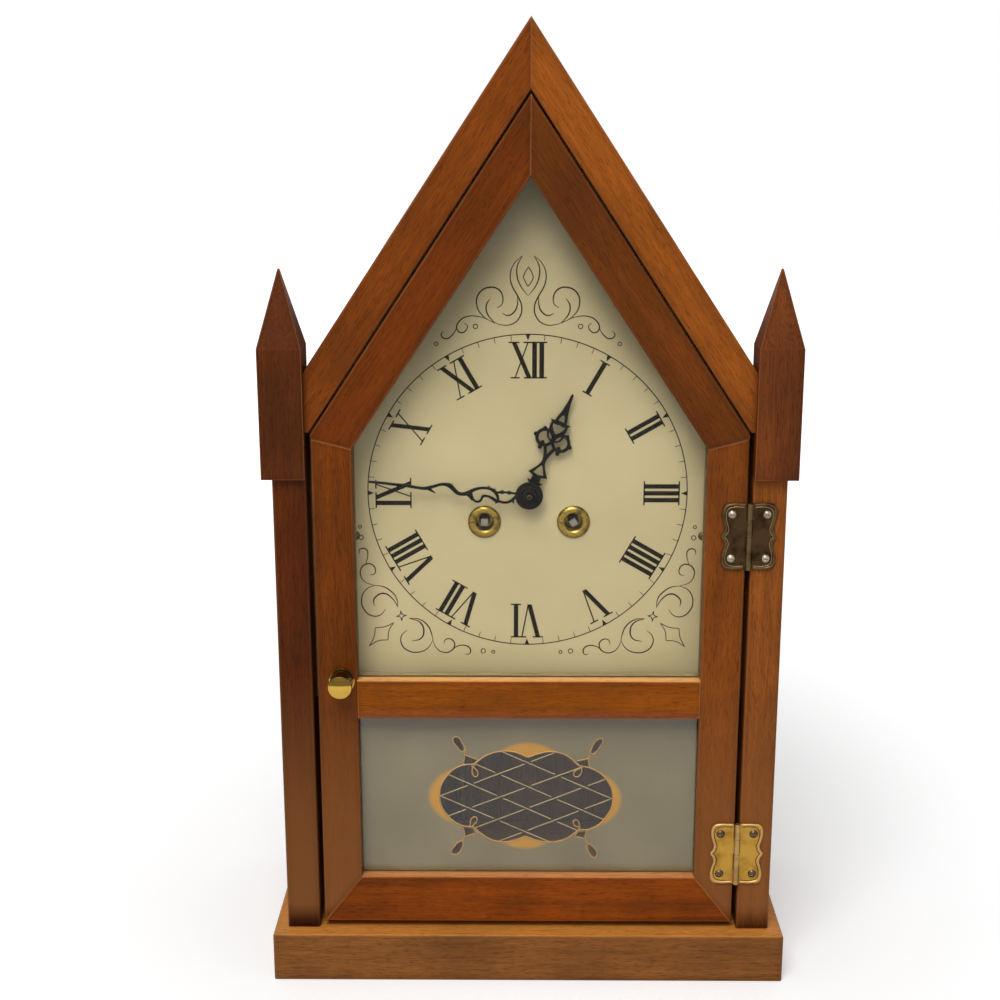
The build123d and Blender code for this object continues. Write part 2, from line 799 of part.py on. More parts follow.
# Movement plates: brass, with a bore for every pivot, joined by four pillars
pivot_places = [second_place, third_place, escape_place, pallet_place, balance_place, pin_wheel_place]
shared_bores = [(place, pivot_radius) for place in pivot_places]
shared_bores += [(place, winding_radius) for place in (time_place, strike_place)]
shared_bores += [(place, pillar_screw_radius) for place in pillar_places]
plates = {
    "movement_front_plate": (plate_inside, front_plate_half_width,
                             [(centre, arbor_radius), (hammer_place, pivot_radius)]),
    "movement_back_plate": (back_plate_back, back_plate_half_width,
                            [(centre, pivot_radius), (hammer_place, arbor_radius)]),
}
for name, (plate_back, half_width, own_bores) in plates.items():
    with BuildPart() as plate:
        with BuildSketch(behind(plate_back)):
            fill([(-half_width, dial_centre - plate_below), (half_width, dial_centre - plate_below),
                  (half_width, dial_centre + plate_above), (-half_width, dial_centre + plate_above)])
        extrude(amount=plate_thickness)
        for place, radius in shared_bores + own_bores:
            rod(place, plate_back - plate_thickness, plate_back, radius + fit_clearance, Mode.SUBTRACT)
        if name == "movement_front_plate":
            rod(minute_wheel_place, plate_front - motion_stud_length, plate_inside, stud_radius)
            drill([(x, plate_inside_y, z) for x, z in plate_screw_places],
                  steel_shank_radius + screw_clearance, 2 * plate_thickness)
    save(plate, name)

with BuildPart() as movement_pillars:
    for place in pillar_places:
        rod(place, plate_front, back_plate_back + pillar_nut_height, pillar_screw_radius)
        rod(place, plate_inside, back_plate_front, pillar_radius)
save(movement_pillars, "movement_pillars")

with BuildPart() as pillar_nuts:
    with BuildSketch(behind(back_plate_back + pillar_nut_height)):
        with Locations(*pillar_places):
            RegularPolygon(pillar_nut_radius, 6)
            Circle(pillar_screw_radius + fit_clearance, mode=Mode.SUBTRACT)
    extrude(amount=pillar_nut_height)
save(pillar_nuts, "pillar_nuts")

# Steel wood screws: back panel and gong block from behind, movement plate into the dial board
with BuildPart() as steel_wood_screws:
    from_behind = [(x, case_back_y, z) for x, z in back_screw_places + gong_screw_places]
    from_behind += [(x, plate_inside_y, z) for x, z in plate_screw_places]
    with Locations(*[Location(place, (0, 0, 180)) for place in from_behind]):
        add(steel_screw)
save(steel_wood_screws, "steel_wood_screws")

# Winding: each arbor carries its square, its ratchet wheel and the core that its mainspring hooks on,
# and turns inside an open spring barrel with a toothed flange
square_back = dial_depth + grommet_bore - grommet_height - end_shake
barrel_radius = train_module * (barrel_teeth - 2 * dedendum_share) / 2 - tooth_clearance / 2
trains = {"time": (time_place, bearing(time_place, second_place), time_square_turn),
          "strike": (strike_place, bearing(strike_place, pin_wheel_place), strike_square_turn)}
for train, (place, to_pinion, square_turn) in trains.items():
    with BuildPart() as winding_arbor:
        rod(place, square_back, back_plate_back, winding_radius)
        rod(place, barrel_front + barrel_core_gap, barrel_back - barrel_gear_thickness - barrel_core_gap,
            barrel_core_radius)
        with BuildSketch(behind(square_back)):
            with Locations(place):
                Rectangle(winding_square, winding_square, rotation=square_turn)
        extrude(amount=winding_square_length)
        with BuildSketch(behind(first_layer)):
            with Locations(place):
                ratchet_outline(ratchet_teeth, ratchet_radius, ratchet_tooth)
        extrude(amount=wheel_thickness)
    save(winding_arbor, f"{train}_winding_arbor")

    with BuildPart() as barrel:
        rod(place, barrel_front, barrel_back - barrel_gear_thickness / 2, barrel_radius)
        rod(place, barrel_front, barrel_back - barrel_gear_thickness, barrel_radius - barrel_wall,
            Mode.SUBTRACT)
        gear(place, barrel_teeth, train_module, to_pinion, barrel_back - barrel_gear_thickness, barrel_back)
        rod(place, barrel_front, barrel_back, winding_radius + fit_clearance, Mode.SUBTRACT)
    save(barrel, f"{train}_barrel")

# Time train: centre arbor with its wheel and pinion, then second and third wheels with theirs
pinion_front = barrel_back - barrel_gear_thickness - end_shake
second_to_centre = bearing(second_place, centre)
centre_to_third = bearing(centre, third_place)
third_to_escape = bearing(third_place, escape_place)
hour_hand_back = dial_depth - hour_hand_lift
minute_hand_back = hour_hand_back - hand_thickness - hand_spacing
minute_boss_front = minute_hand_back - hand_thickness - minute_boss_height
with BuildPart() as centre_wheel:
    gear(centre, centre_wheel_teeth, centre_module, centre_to_third, first_layer - wheel_thickness,
         first_layer)
    cross_out(centre, centre_module * centre_wheel_teeth / 2, first_layer - wheel_thickness, first_layer)
    gear(centre, centre_pinion_teeth, train_module, mating(centre_pinion_teeth, second_to_centre),
         second_front - end_shake, second_layer + end_shake)
    rod(centre, minute_boss_front - nut_height - arbor_past_nut, back_plate_front - end_shake, arbor_radius)
    rod(centre, plate_inside, back_plate_back, pivot_radius)
save(centre_wheel, "centre_wheel")

with BuildPart() as second_wheel:
    gear(second_place, second_wheel_teeth, train_module, second_to_centre, second_front, second_layer)
    cross_out(second_place, train_module * second_wheel_teeth / 2, second_front, second_layer)
    gear(second_place, second_pinion_teeth, train_module,
         mating(second_pinion_teeth, bearing(time_place, second_place)), pinion_front, second_front)
    pivoted_arbor(second_place)
save(second_wheel, "second_wheel")

with BuildPart() as third_wheel:
    gear(third_place, third_wheel_teeth, third_module, third_to_escape, third_layer - wheel_thickness,
         third_layer)
    cross_out(third_place, third_module * third_wheel_teeth / 2, third_layer - wheel_thickness, third_layer)
    gear(third_place, third_pinion_teeth, centre_module, mating(third_pinion_teeth, centre_to_third),
         first_layer - wheel_thickness - end_shake, first_layer + end_shake)
    pivoted_arbor(third_place)
save(third_wheel, "third_wheel")

# Escapement: escape wheel, pallet lever round it, and the balance that the lever's fork drives
with BuildPart() as escape_wheel:
    with BuildSketch(behind(escape_layer)):
        with Locations(escape_place):
            ratchet_outline(escape_teeth, escape_radius, escape_tooth)
    extrude(amount=wheel_thickness)
    cross_out(escape_place, escape_radius - escape_tooth, escape_layer - wheel_thickness, escape_layer)
    gear(escape_place, escape_pinion_teeth, third_module, mating(escape_pinion_teeth, third_to_escape),
         third_layer - wheel_thickness - end_shake, third_layer + end_shake)
    pivoted_arbor(escape_place)
save(escape_wheel, "escape_wheel")

pallet_inner = escape_radius + pallet_gap
pallet_outer = pallet_inner + pallet_band
fork_length = lever_reach - arbor_radius - staff_gap
with BuildPart() as pallet_lever:
    with BuildSketch(behind(escape_layer)):
        with BuildLine():
            start = travel(escape_place, pallet_inner, pallet_direction - pallet_spread)
            CenterArc(escape_place, pallet_outer, pallet_direction - pallet_spread, 2 * pallet_spread)
            CenterArc(escape_place, pallet_inner, pallet_direction - pallet_spread, 2 * pallet_spread)
            Line(start, travel(escape_place, pallet_outer, pallet_direction - pallet_spread))
            Line(travel(escape_place, pallet_inner, pallet_direction + pallet_spread),
                 travel(escape_place, pallet_outer, pallet_direction + pallet_spread))
        make_face()
        with Locations(pallet_place):
            Circle(escape_hub_radius)
            with Locations(Location((0, 0), balance_direction)):
                Rectangle(fork_length, lever_width, align=(Align.MIN, Align.CENTER))
    extrude(amount=wheel_thickness)
    pivoted_arbor(pallet_place)
save(pallet_lever, "pallet_lever")

with BuildPart() as balance_wheel:
    with BuildSketch(behind(balance_layer)):
        with Locations(balance_place):
            Circle(balance_radius)
            Circle(balance_radius - balance_rim, mode=Mode.SUBTRACT)
            with PolarLocations(0, balance_spoke_count):
                Rectangle(balance_radius - balance_rim / 2, balance_spoke, align=(Align.MIN, Align.CENTER))
            Circle(escape_hub_radius)
    extrude(amount=wheel_thickness)
    pivoted_arbor(balance_place)
save(balance_wheel, "balance_wheel")

# Strike train: pin wheel driven by the strike barrel, and the hammer that its pins lift
with BuildPart() as strike_pin_wheel:
    rod(pin_wheel_place, second_front, second_layer, pin_wheel_radius)
    for pin in range(pin_count):
        rod(travel(pin_wheel_place, pin_circle, 360 * pin / pin_count), second_layer,
            second_layer + pin_length, pin_radius)
    gear(pin_wheel_place, second_pinion_teeth, train_module,
         mating(second_pinion_teeth, bearing(strike_place, pin_wheel_place)), pinion_front, second_front)
    pivoted_arbor(pin_wheel_place)
save(strike_pin_wheel, "strike_pin_wheel")

gong_rod_depth = case_back - back_panel_thickness - gong_rod_back
head_face = hammer_place[0] + hammer_head_length / 2
tail_back = second_layer + hammer_tail_gap + hammer_tail_thickness
with BuildPart() as gong_hammer:
    rod(hammer_place, plate_front, plate_inside + end_shake, pivot_radius)
    rod(hammer_place, plate_inside + end_shake, gong_rod_depth + hammer_arm_radius, arbor_radius)
    with BuildSketch(behind(tail_back)):
        with Locations(hammer_place):
            Circle(hammer_hub_radius)
            with Locations(Location((0, 0), hammer_direction + 180)):
                Rectangle(hammer_tail, hammer_tail_width, align=(Align.MIN, Align.CENTER))
    extrude(amount=hammer_tail_thickness)
    with Locations((hammer_place[0], front_y + gong_rod_depth, hammer_place[1])):
        Cylinder(hammer_arm_radius, hammer_arm_length, align=(Align.CENTER, Align.CENTER, Align.MAX))
    with Locations((hammer_place[0], front_y + gong_rod_depth, head_height)):
        Cylinder(hammer_head_radius, hammer_head_length, rotation=(0, 90, 0))
save(gong_hammer, "gong_hammer")

# Gong: a steel rod in a cast block that is screwed to the back panel
gong_rod_x = head_face + hammer_gap + gong_rod_radius
gong_block_back = case_back - back_panel_thickness
with BuildPart() as gong_block:
    with BuildSketch(behind(gong_block_back)):
        with Locations((gong_x, gong_middle)):
            Rectangle(gong_block_width, gong_block_height)
    extrude(amount=gong_block_depth)
    with Locations((gong_rod_x, front_y + gong_rod_depth, gong_block_bottom)):
        Cylinder(gong_rod_radius + fit_clearance, 2 * gong_rod_seat, mode=Mode.SUBTRACT)
    drill([(x, front_y + gong_block_back, z) for x, z in gong_screw_places],
          steel_shank_radius + screw_clearance, steel_shank_length - back_panel_thickness + screw_clearance)
save(gong_block, "gong_block")

with BuildPart() as gong_rod:
    with Locations((gong_rod_x, front_y + gong_rod_depth, base_height + gong_rod_rise)):
        Cylinder(gong_rod_radius, gong_block_bottom + gong_rod_seat - base_height - gong_rod_rise,
                 align=(Align.CENTER, Align.CENTER, Align.MIN))
save(gong_rod, "gong_rod")

# Motion work: cannon pinion on the centre arbor, minute wheel on its stud, hour wheel on its pipe
cannon_back = plate_front - cannon_gear_gap
minute_wheel_back = plate_front - minute_wheel_gap
minute_wheel_front = minute_wheel_back - wheel_thickness
hour_wheel_back = plate_front - hour_wheel_gap
hour_wheel_front = hour_wheel_back - wheel_thickness
hour_to_minute = bearing(centre, minute_wheel_place)
with BuildPart() as cannon_pinion:
    gear(centre, cannon_teeth, motion_module, hour_to_minute, cannon_back - cannon_gear_length, cannon_back)
    rod(centre, minute_boss_front + cannon_short, cannon_back, cannon_radius)
    rod(centre, minute_boss_front, plate_front, arbor_radius + fit_clearance, Mode.SUBTRACT)
save(cannon_pinion, "cannon_pinion")

with BuildPart() as minute_wheel:
    gear(minute_wheel_place, minute_wheel_teeth, motion_module, mating(minute_wheel_teeth, hour_to_minute),
         minute_wheel_front, minute_wheel_back)
    cross_out(minute_wheel_place, motion_module * minute_wheel_teeth / 2, minute_wheel_front,
              minute_wheel_back)
    gear(minute_wheel_place, minute_pinion_teeth, motion_module, hour_to_minute + 180,
         minute_wheel_front - minute_pinion_length, minute_wheel_front)
    rod(minute_wheel_place, minute_wheel_front - minute_pinion_length, minute_wheel_back,
        stud_radius + fit_clearance, Mode.SUBTRACT)
save(minute_wheel, "minute_wheel")

with BuildPart() as hour_wheel:
    gear(centre, hour_wheel_teeth, motion_module, mating(hour_wheel_teeth, hour_to_minute + 180),
         hour_wheel_front, hour_wheel_back)
    cross_out(centre, motion_module * hour_wheel_teeth / 2, hour_wheel_front, hour_wheel_back)
    rod(centre, hour_hand_back - hand_thickness - pipe_past_hand, hour_wheel_back, pipe_radius)
    rod(centre, minute_hand_back, plate_front, cannon_radius + fit_clearance, Mode.SUBTRACT)
save(hour_wheel, "hour_wheel")


# Hands: pierced and scrolled, stamped from sheet. Stations of a strand are shares of the hand's length:
# along it, clockwise of it, and half the strand's width there.
def hand_plane(back, clockwise):
    turn = radians(clockwise)
    return Plane(origin=(0, front_y + back, dial_centre), x_dir=(sin(turn), 0, cos(turn)), z_dir=(0, -1, 0))


def on_hand(shares, length, side):
    return [Vector(length * along, length * aside * side) for along, aside, *_ in shares]


def strand(shares, length, side):
    """A strand that swells and thins along its stations."""
    middle = on_hand(shares, length, side)
    edges = [], []
    for i, (place, share) in enumerate(zip(middle, shares)):
        way = (middle[min(i + 1, len(middle) - 1)] - middle[max(i - 1, 0)]).normalized()
        across = Vector(-way.Y, way.X) * length * share[2]
        edges[0].append(place + across)
        edges[1].append(place - across)
    with BuildLine() as outline:
        for edge in edges:
            Spline(*edge)
        for end in (0, -1):
            Line(edges[0][end], edges[1][end])
    make_face(outline.edges())


def beads(shares, length, side):
    for place, share in zip(on_hand(shares, length, side), shares):
        with Locations(place):
            Circle(length * share[2])


hour_strand_shares = [
    [(0.05, 0.02, 0.026), (0.12, 0.018, 0.026), (0.19, 0.014, 0.024)],
    [(0.11, 0.03, 0.014), (0.122, 0.052, 0.01), (0.132, 0.072, 0.002)],
    [(0.184, 0.0, 0.012), (0.194, 0.04, 0.012), (0.203, 0.076, 0.009)],
    [(0.345, 0.002, 0.016), (0.317, 0.005, 0.015), (0.287, 0.02, 0.011), (0.25, 0.042, 0.011),
     (0.216, 0.063, 0.014), (0.198, 0.09, 0.003)],
    [(0.31, 0.0, 0.016), (0.345, 0.0, 0.019), (0.385, 0.0, 0.022)],
    [(0.375, 0.004, 0.018), (0.418, 0.021, 0.015), (0.482, 0.048, 0.015)],
    [(0.539, 0.02, 0.008), (0.548, 0.044, 0.007), (0.568, 0.06, 0.008), (0.607, 0.071, 0.01)],
    [(0.578, 0.0, 0.018), (0.604, 0.028, 0.019), (0.63, 0.052, 0.019), (0.664, 0.066, 0.014),
     (0.71, 0.066, 0.012)],
    [(0.712, -0.002, 0.01), (0.708, 0.026, 0.018), (0.71, 0.055, 0.015), (0.722, 0.096, 0.002)],
]
hour_bead_shares = [(0.625, 0.11, 0.017), (0.543, 0.167, 0.018), (0.447, 0.086, 0.019), (0.493, 0.079, 0.02)]
ring_shares = [(0.545, 0.0775)]
ring_radius_share = 0.0725
spear_shares = [(0.7, 0.0, 0.05), (0.735, 0.0, 0.053), (0.775, 0.0, 0.045), (0.82, 0.0, 0.032),
                (0.88, 0.0, 0.0215), (0.95, 0.0, 0.0135), (0.985, 0.0, 0.0105), (1.0, 0.0, 0.004)]
spear_opening_shares = [(0.732, -0.03), (0.732, 0.03), (0.79, 0.011), (0.79, -0.011)]
minute_strand_shares = [
    [(0.193, -0.046, 0.009), (0.195, -0.02, 0.009), (0.207, 0.0, 0.0095), (0.225, 0.016, 0.0095),
     (0.253, 0.026, 0.008), (0.28, 0.028, 0.0075), (0.313, 0.023, 0.008), (0.34, 0.013, 0.0095),
     (0.366, -0.003, 0.012), (0.388, -0.016, 0.0125), (0.418, -0.023, 0.0105), (0.446, -0.018, 0.0115),
     (0.467, -0.001, 0.0125), (0.489, 0.018, 0.013), (0.517, 0.029, 0.011), (0.557, 0.027, 0.0085),
     (0.583, 0.017, 0.0085), (0.616, 0.004, 0.01), (0.649, -0.006, 0.0095), (0.69, -0.006, 0.0085),
     (0.738, -0.001, 0.0085), (0.785, 0.003, 0.0085), (0.832, 0.003, 0.008), (0.9, 0.006, 0.0075),
     (0.96, 0.007, 0.007), (1.0, 0.008, 0.006)],
    [(0.372, -0.008, 0.01), (0.353, -0.03, 0.0055), (0.347, -0.046, 0.0055), (0.334, -0.06, 0.006),
     (0.31, -0.062, 0.0065), (0.296, -0.048, 0.0075), (0.288, -0.028, 0.0085), (0.269, -0.022, 0.0065),
     (0.242, -0.028, 0.0075), (0.213, -0.043, 0.0095), (0.194, -0.056, 0.009)],
    [(0.196, -0.048, 0.007), (0.165, -0.054, 0.007), (0.141, -0.055, 0.007), (0.118, -0.046, 0.0075),
     (0.099, -0.03, 0.0085), (0.08, -0.008, 0.009)],
    [(0.207, 0.004, 0.006), (0.148, 0.01, 0.0055), (0.075, 0.006, 0.007)],
]
minute_barb_shares = [
    [(0.8, 0.002, 0.009), (0.783, -0.02, 0.001)], [(0.636, -0.002, 0.011), (0.583, -0.03, 0.002)],
    [(0.498, 0.024, 0.01), (0.504, 0.046, 0.001)], [(0.489, 0.018, 0.01), (0.482, 0.041, 0.001)],
    [(0.384, -0.014, 0.014), (0.349, -0.058, 0.004)], [(0.262, 0.026, 0.01), (0.249, 0.045, 0.001)],
    [(0.22, 0.012, 0.01), (0.213, 0.03, 0.001)], [(0.192, -0.048, 0.011), (0.207, -0.069, 0.001)],
    [(0.101, -0.033, 0.01), (0.09, -0.06, 0.001)],
]
minute_bead_shares = [(0.17, 0.01, 0.0125), (0.126, 0.01, 0.0125)]
with BuildPart() as hour_hand:
    with BuildSketch(hand_plane(hour_hand_back, hour_angle)):
        for side in (-1, 1):
            with BuildLine():
                for start in (0, 180):
                    CenterArc(on_hand(ring_shares, hour_length, side)[0], hour_length * ring_radius_share,
                              start, 180)
            trace(line_width=hour_ring_width)
            for shares in hour_strand_shares:
                strand(shares, hour_length, side)
            beads(hour_bead_shares, hour_length, side)
        strand(spear_shares, hour_length, 1)
        Polygon(*on_hand(spear_opening_shares, hour_length, 1), align=None, mode=Mode.SUBTRACT)
        Circle(hour_hub_radius)
    extrude(amount=hand_thickness)
    rod(centre, hour_hand_back, hour_hand_back + hour_collet_height, hour_collet_radius)
    rod(centre, minute_hand_back, dial_depth, pipe_radius + fit_clearance, Mode.SUBTRACT)
save(hour_hand, "hour_hand")

with BuildPart() as minute_hand:
    with BuildSketch(hand_plane(minute_hand_back, minute_angle)):
        for shares in minute_strand_shares + minute_barb_shares:
            strand(shares, minute_length, -1)
        beads(minute_bead_shares, minute_length, -1)
        Circle(minute_hub_radius)
    extrude(amount=hand_thickness)
    rod(centre, minute_boss_front, minute_hand_back, minute_boss_radius)
    rod(centre, minute_boss_front, hour_hand_back, cannon_radius + fit_clearance, Mode.SUBTRACT)
save(minute_hand, "minute_hand")

with BuildPart() as hand_nut:
    rod(centre, minute_boss_front - nut_height, minute_boss_front, nut_radius)
    rod(centre, minute_boss_front - nut_height, minute_boss_front, arbor_radius + fit_clearance,
        Mode.SUBTRACT)
save(hand_nut, "hand_nut")
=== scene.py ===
from math import cos, hypot, pi, radians, sin

import bmesh
import bpy
from mathutils import Matrix, Vector


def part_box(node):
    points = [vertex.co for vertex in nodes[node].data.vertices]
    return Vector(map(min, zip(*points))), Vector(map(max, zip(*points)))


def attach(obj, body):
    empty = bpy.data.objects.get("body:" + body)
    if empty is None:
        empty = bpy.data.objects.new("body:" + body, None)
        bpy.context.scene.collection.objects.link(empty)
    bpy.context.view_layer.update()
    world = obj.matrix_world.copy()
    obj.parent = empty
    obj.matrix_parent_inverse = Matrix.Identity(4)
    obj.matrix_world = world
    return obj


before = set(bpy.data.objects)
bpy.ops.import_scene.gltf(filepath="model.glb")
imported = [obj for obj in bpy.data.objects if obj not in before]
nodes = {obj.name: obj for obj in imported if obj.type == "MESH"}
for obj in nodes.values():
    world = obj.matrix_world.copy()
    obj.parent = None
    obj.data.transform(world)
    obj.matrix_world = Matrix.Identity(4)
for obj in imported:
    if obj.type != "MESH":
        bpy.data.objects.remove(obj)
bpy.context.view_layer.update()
scene = bpy.context.scene
scene.view_settings.view_transform = "Standard"
mm = 0.001

# Camera: it stands 0.65 m in front of the clock, a little above the hands, and looks 14 degrees down.
# The focal length is in pixels of the 1000-pixel photograph.
image_side = 1000
focal_pixels = 1542.47
sensor = 36
camera_place = Vector((-6.65, -709.06, 394.24)) * mm
pitch, yaw, roll = 0.2466, -0.0095, -0.0009
ahead = Vector((sin(yaw) * cos(pitch), cos(yaw) * cos(pitch), -sin(pitch)))
level_right = Vector((cos(yaw), -sin(yaw), 0))
level_up = level_right.cross(ahead)
camera_right = level_right * cos(roll) + level_up * sin(roll)
camera_up = level_up * cos(roll) - level_right * sin(roll)
camera_data = bpy.data.cameras.new("camera")
camera_data.sensor_width = sensor
camera_data.lens = sensor * focal_pixels / image_side
camera = bpy.data.objects.new("camera", camera_data)
scene.collection.objects.link(camera)
camera.matrix_world = (Matrix.Translation(camera_place)
                       @ Matrix((camera_right, camera_up, -ahead)).transposed().to_4x4())
scene.camera = camera


def at_pixel(u, v, depth_y):
    """The point of the upright plane y = depth_y that the photograph shows at pixel (u, v)."""
    ray = (ahead * focal_pixels + camera_right * (u - image_side / 2)
           + camera_up * (image_side / 2 - v))
    return camera_place + ray * ((depth_y - camera_place.y) / ray.y)


# Studio: a pale floor, a soft room light that shows white to the camera and to polished metal, and one
# large lamp above the photographer's left shoulder.
def set_sockets(tree, made, sockets):
    for socket, value in sockets.items():
        if isinstance(value, bpy.types.NodeSocket):
            tree.links.new(value, made.inputs[socket])
        else:
            made.inputs[socket].default_value = value


def node(tree, kind, sockets=None, **settings):
    made = tree.nodes.new("ShaderNode" + kind)
    for key, value in settings.items():
        setattr(made, key, value)
    set_sockets(tree, made, sockets or {})
    return made


def combine(tree, operation, a, b):
    return node(tree, "Math", {0: a, 1: b}, operation=operation).outputs[0]


def new_material(name):
    material = bpy.data.materials.new(name)
    material.use_nodes = True
    return material, material.node_tree, material.node_tree.nodes["Principled BSDF"]


def object_place(tree):
    return node(tree, "TexCoord").outputs["Object"]


def made_mesh(name, shape):
    mesh = bpy.data.meshes.new(name)
    shape.to_mesh(mesh)
    shape.free()
    return mesh


room_light, room_white = 0.44, 1.0
white = (1, 1, 1, 1)
world = bpy.data.worlds.new("studio")
world.use_nodes = True
scene.world = world
room = world.node_tree
path = node(room, "LightPath").outputs
seen = combine(room, "MAXIMUM", path["Is Camera Ray"], path["Is Glossy Ray"])
seen = combine(room, "MAXIMUM", seen, path["Is Transmission Ray"])
brighter = combine(room, "MULTIPLY", seen, room_white - room_light)
strength = combine(room, "ADD", brighter, room_light)
set_sockets(room, room.nodes["Background"], {"Color": white, "Strength": strength})

floor_side, floor_drop = 8, 0.2 * mm
floor_colour, floor_roughness = (0.82, 0.82, 0.82, 1), 0.9
glow_start, glow_end = 0.15, 1.0
near_glow, far_glow = 0.28, 0.8
shape = bmesh.new()
bmesh.ops.create_grid(shape, x_segments=1, y_segments=1, size=floor_side / 2,
                      matrix=Matrix.Translation((0, 0, -floor_drop)))
floor_mesh = made_mesh("floor", shape)
floor = bpy.data.objects.new("floor", floor_mesh)
scene.collection.objects.link(floor)
floor_paint, tree, shader = new_material("pale_floor")
distance = node(tree, "VectorMath", {0: object_place(tree)}, operation="LENGTH").outputs["Value"]
far = node(tree, "MapRange", {"Value": distance, "From Min": glow_start, "From Max": glow_end,
                              "To Min": near_glow, "To Max": far_glow}).outputs[0]
glow = combine(tree, "MULTIPLY", node(tree, "LightPath").outputs["Is Camera Ray"], far)
set_sockets(tree, shader, {"Base Color": floor_colour, "Roughness": floor_roughness,
                           "Emission Color": white, "Emission Strength": glow})
floor_mesh.materials.append(floor_paint)


def lamp(name, place, aim, size, watts):
    data = bpy.data.lights.new(name, "AREA")
    data.size, data.energy = size, watts
    light = bpy.data.objects.new(name, data)
    scene.collection.objects.link(light)
    light.matrix_world = (Matrix.Translation(place)
                          @ (Vector(aim) - Vector(place)).to_track_quat("-Z", "Y").to_matrix().to_4x4())


lamp_place, lamp_aim = (-0.3, -1.05, 1.65), (0, 0, 0.2)
lamp("window_light", lamp_place, lamp_aim, size=0.9, watts=21.5)


# Base: one solid board of cherry, stained and lacquered, that the whole case stands on. Its grain runs
# from side to side. The wood finish that is made here also serves the rest of the case.
def paint(red, green, blue):
    """Linear colour of a colour as it looks, from 0 to 255."""
    shares = [level / 255 for level in (red, green, blue)]
    return tuple(s / 12.92 if s <= 0.04045 else ((s + 0.055) / 1.055) ** 2.4 for s in shares) + (1,)


def ramp(tree, factor, stops):
    made = node(tree, "ValToRGB", {"Fac": factor})
    while len(made.color_ramp.elements) < len(stops):
        made.color_ramp.elements.new(0.5)
    for element, (position, colour) in zip(made.color_ramp.elements, stops):
        element.position = position
        element.color = colour if len(colour) == 4 else (*colour * 3, 1)
    return made.outputs["Color"]


def blend_colours(tree, kind, factor, a, b):
    made = node(tree, "Mix", {0: factor, 6: a, 7: b}, data_type="RGBA", blend_type=kind)
    return made.outputs[2]


edge_samples = 4


def noise(tree, place, scale, detail, **more):
    return node(tree, "TexNoise", {"Vector": place, "Scale": scale, "Detail": detail, **more}).outputs[0]


def coordinate(tree, place, axis):
    return node(tree, "SeparateXYZ", {0: place}).outputs[axis]


def below(tree, along, border, blur, share=1.0):
    """The share where along is under the border, and 0 above it."""
    return node(tree, "MapRange", {"Value": along, "From Min": border - blur, "From Max": border + blur,
                                   "To Min": share, "To Max": 0.0}).outputs[0]


def openness(tree, reach, samples=edge_samples):
    """1 on an open face, and less in a corner or crack that is within reach."""
    return node(tree, "AmbientOcclusion", {"Distance": reach}, samples=samples).outputs["AO"]


def rounding(tree, radius):
    """The normal of the piece with its arrises rounded, and how much it is like the flat face's."""
    rounded = node(tree, "Bevel", {"Radius": radius}, samples=edge_samples).outputs["Normal"]
    flat = node(tree, "NewGeometry").outputs["Normal"]
    return rounded, node(tree, "VectorMath", {0: rounded, 1: flat}, operation="DOT_PRODUCT").outputs["Value"]


def arris_closeness(tree, radius):
    """The rounded normal of the piece, and how near a point is to an arris, from 0 to 1."""
    rounded, likeness = rounding(tree, radius)
    return rounded, ramp(tree, likeness, [(0.93, (1,)), (0.999, (0,))])


edge_stain_and_crown_reach, arris_radius, crevice_stain_and_shade_reach = 5.5 * mm, 0.9 * mm, 2.5 * mm
band_blur, band_strength = 0.3 * mm, 0.65
floor_reflection_tone = (132, 82, 42)


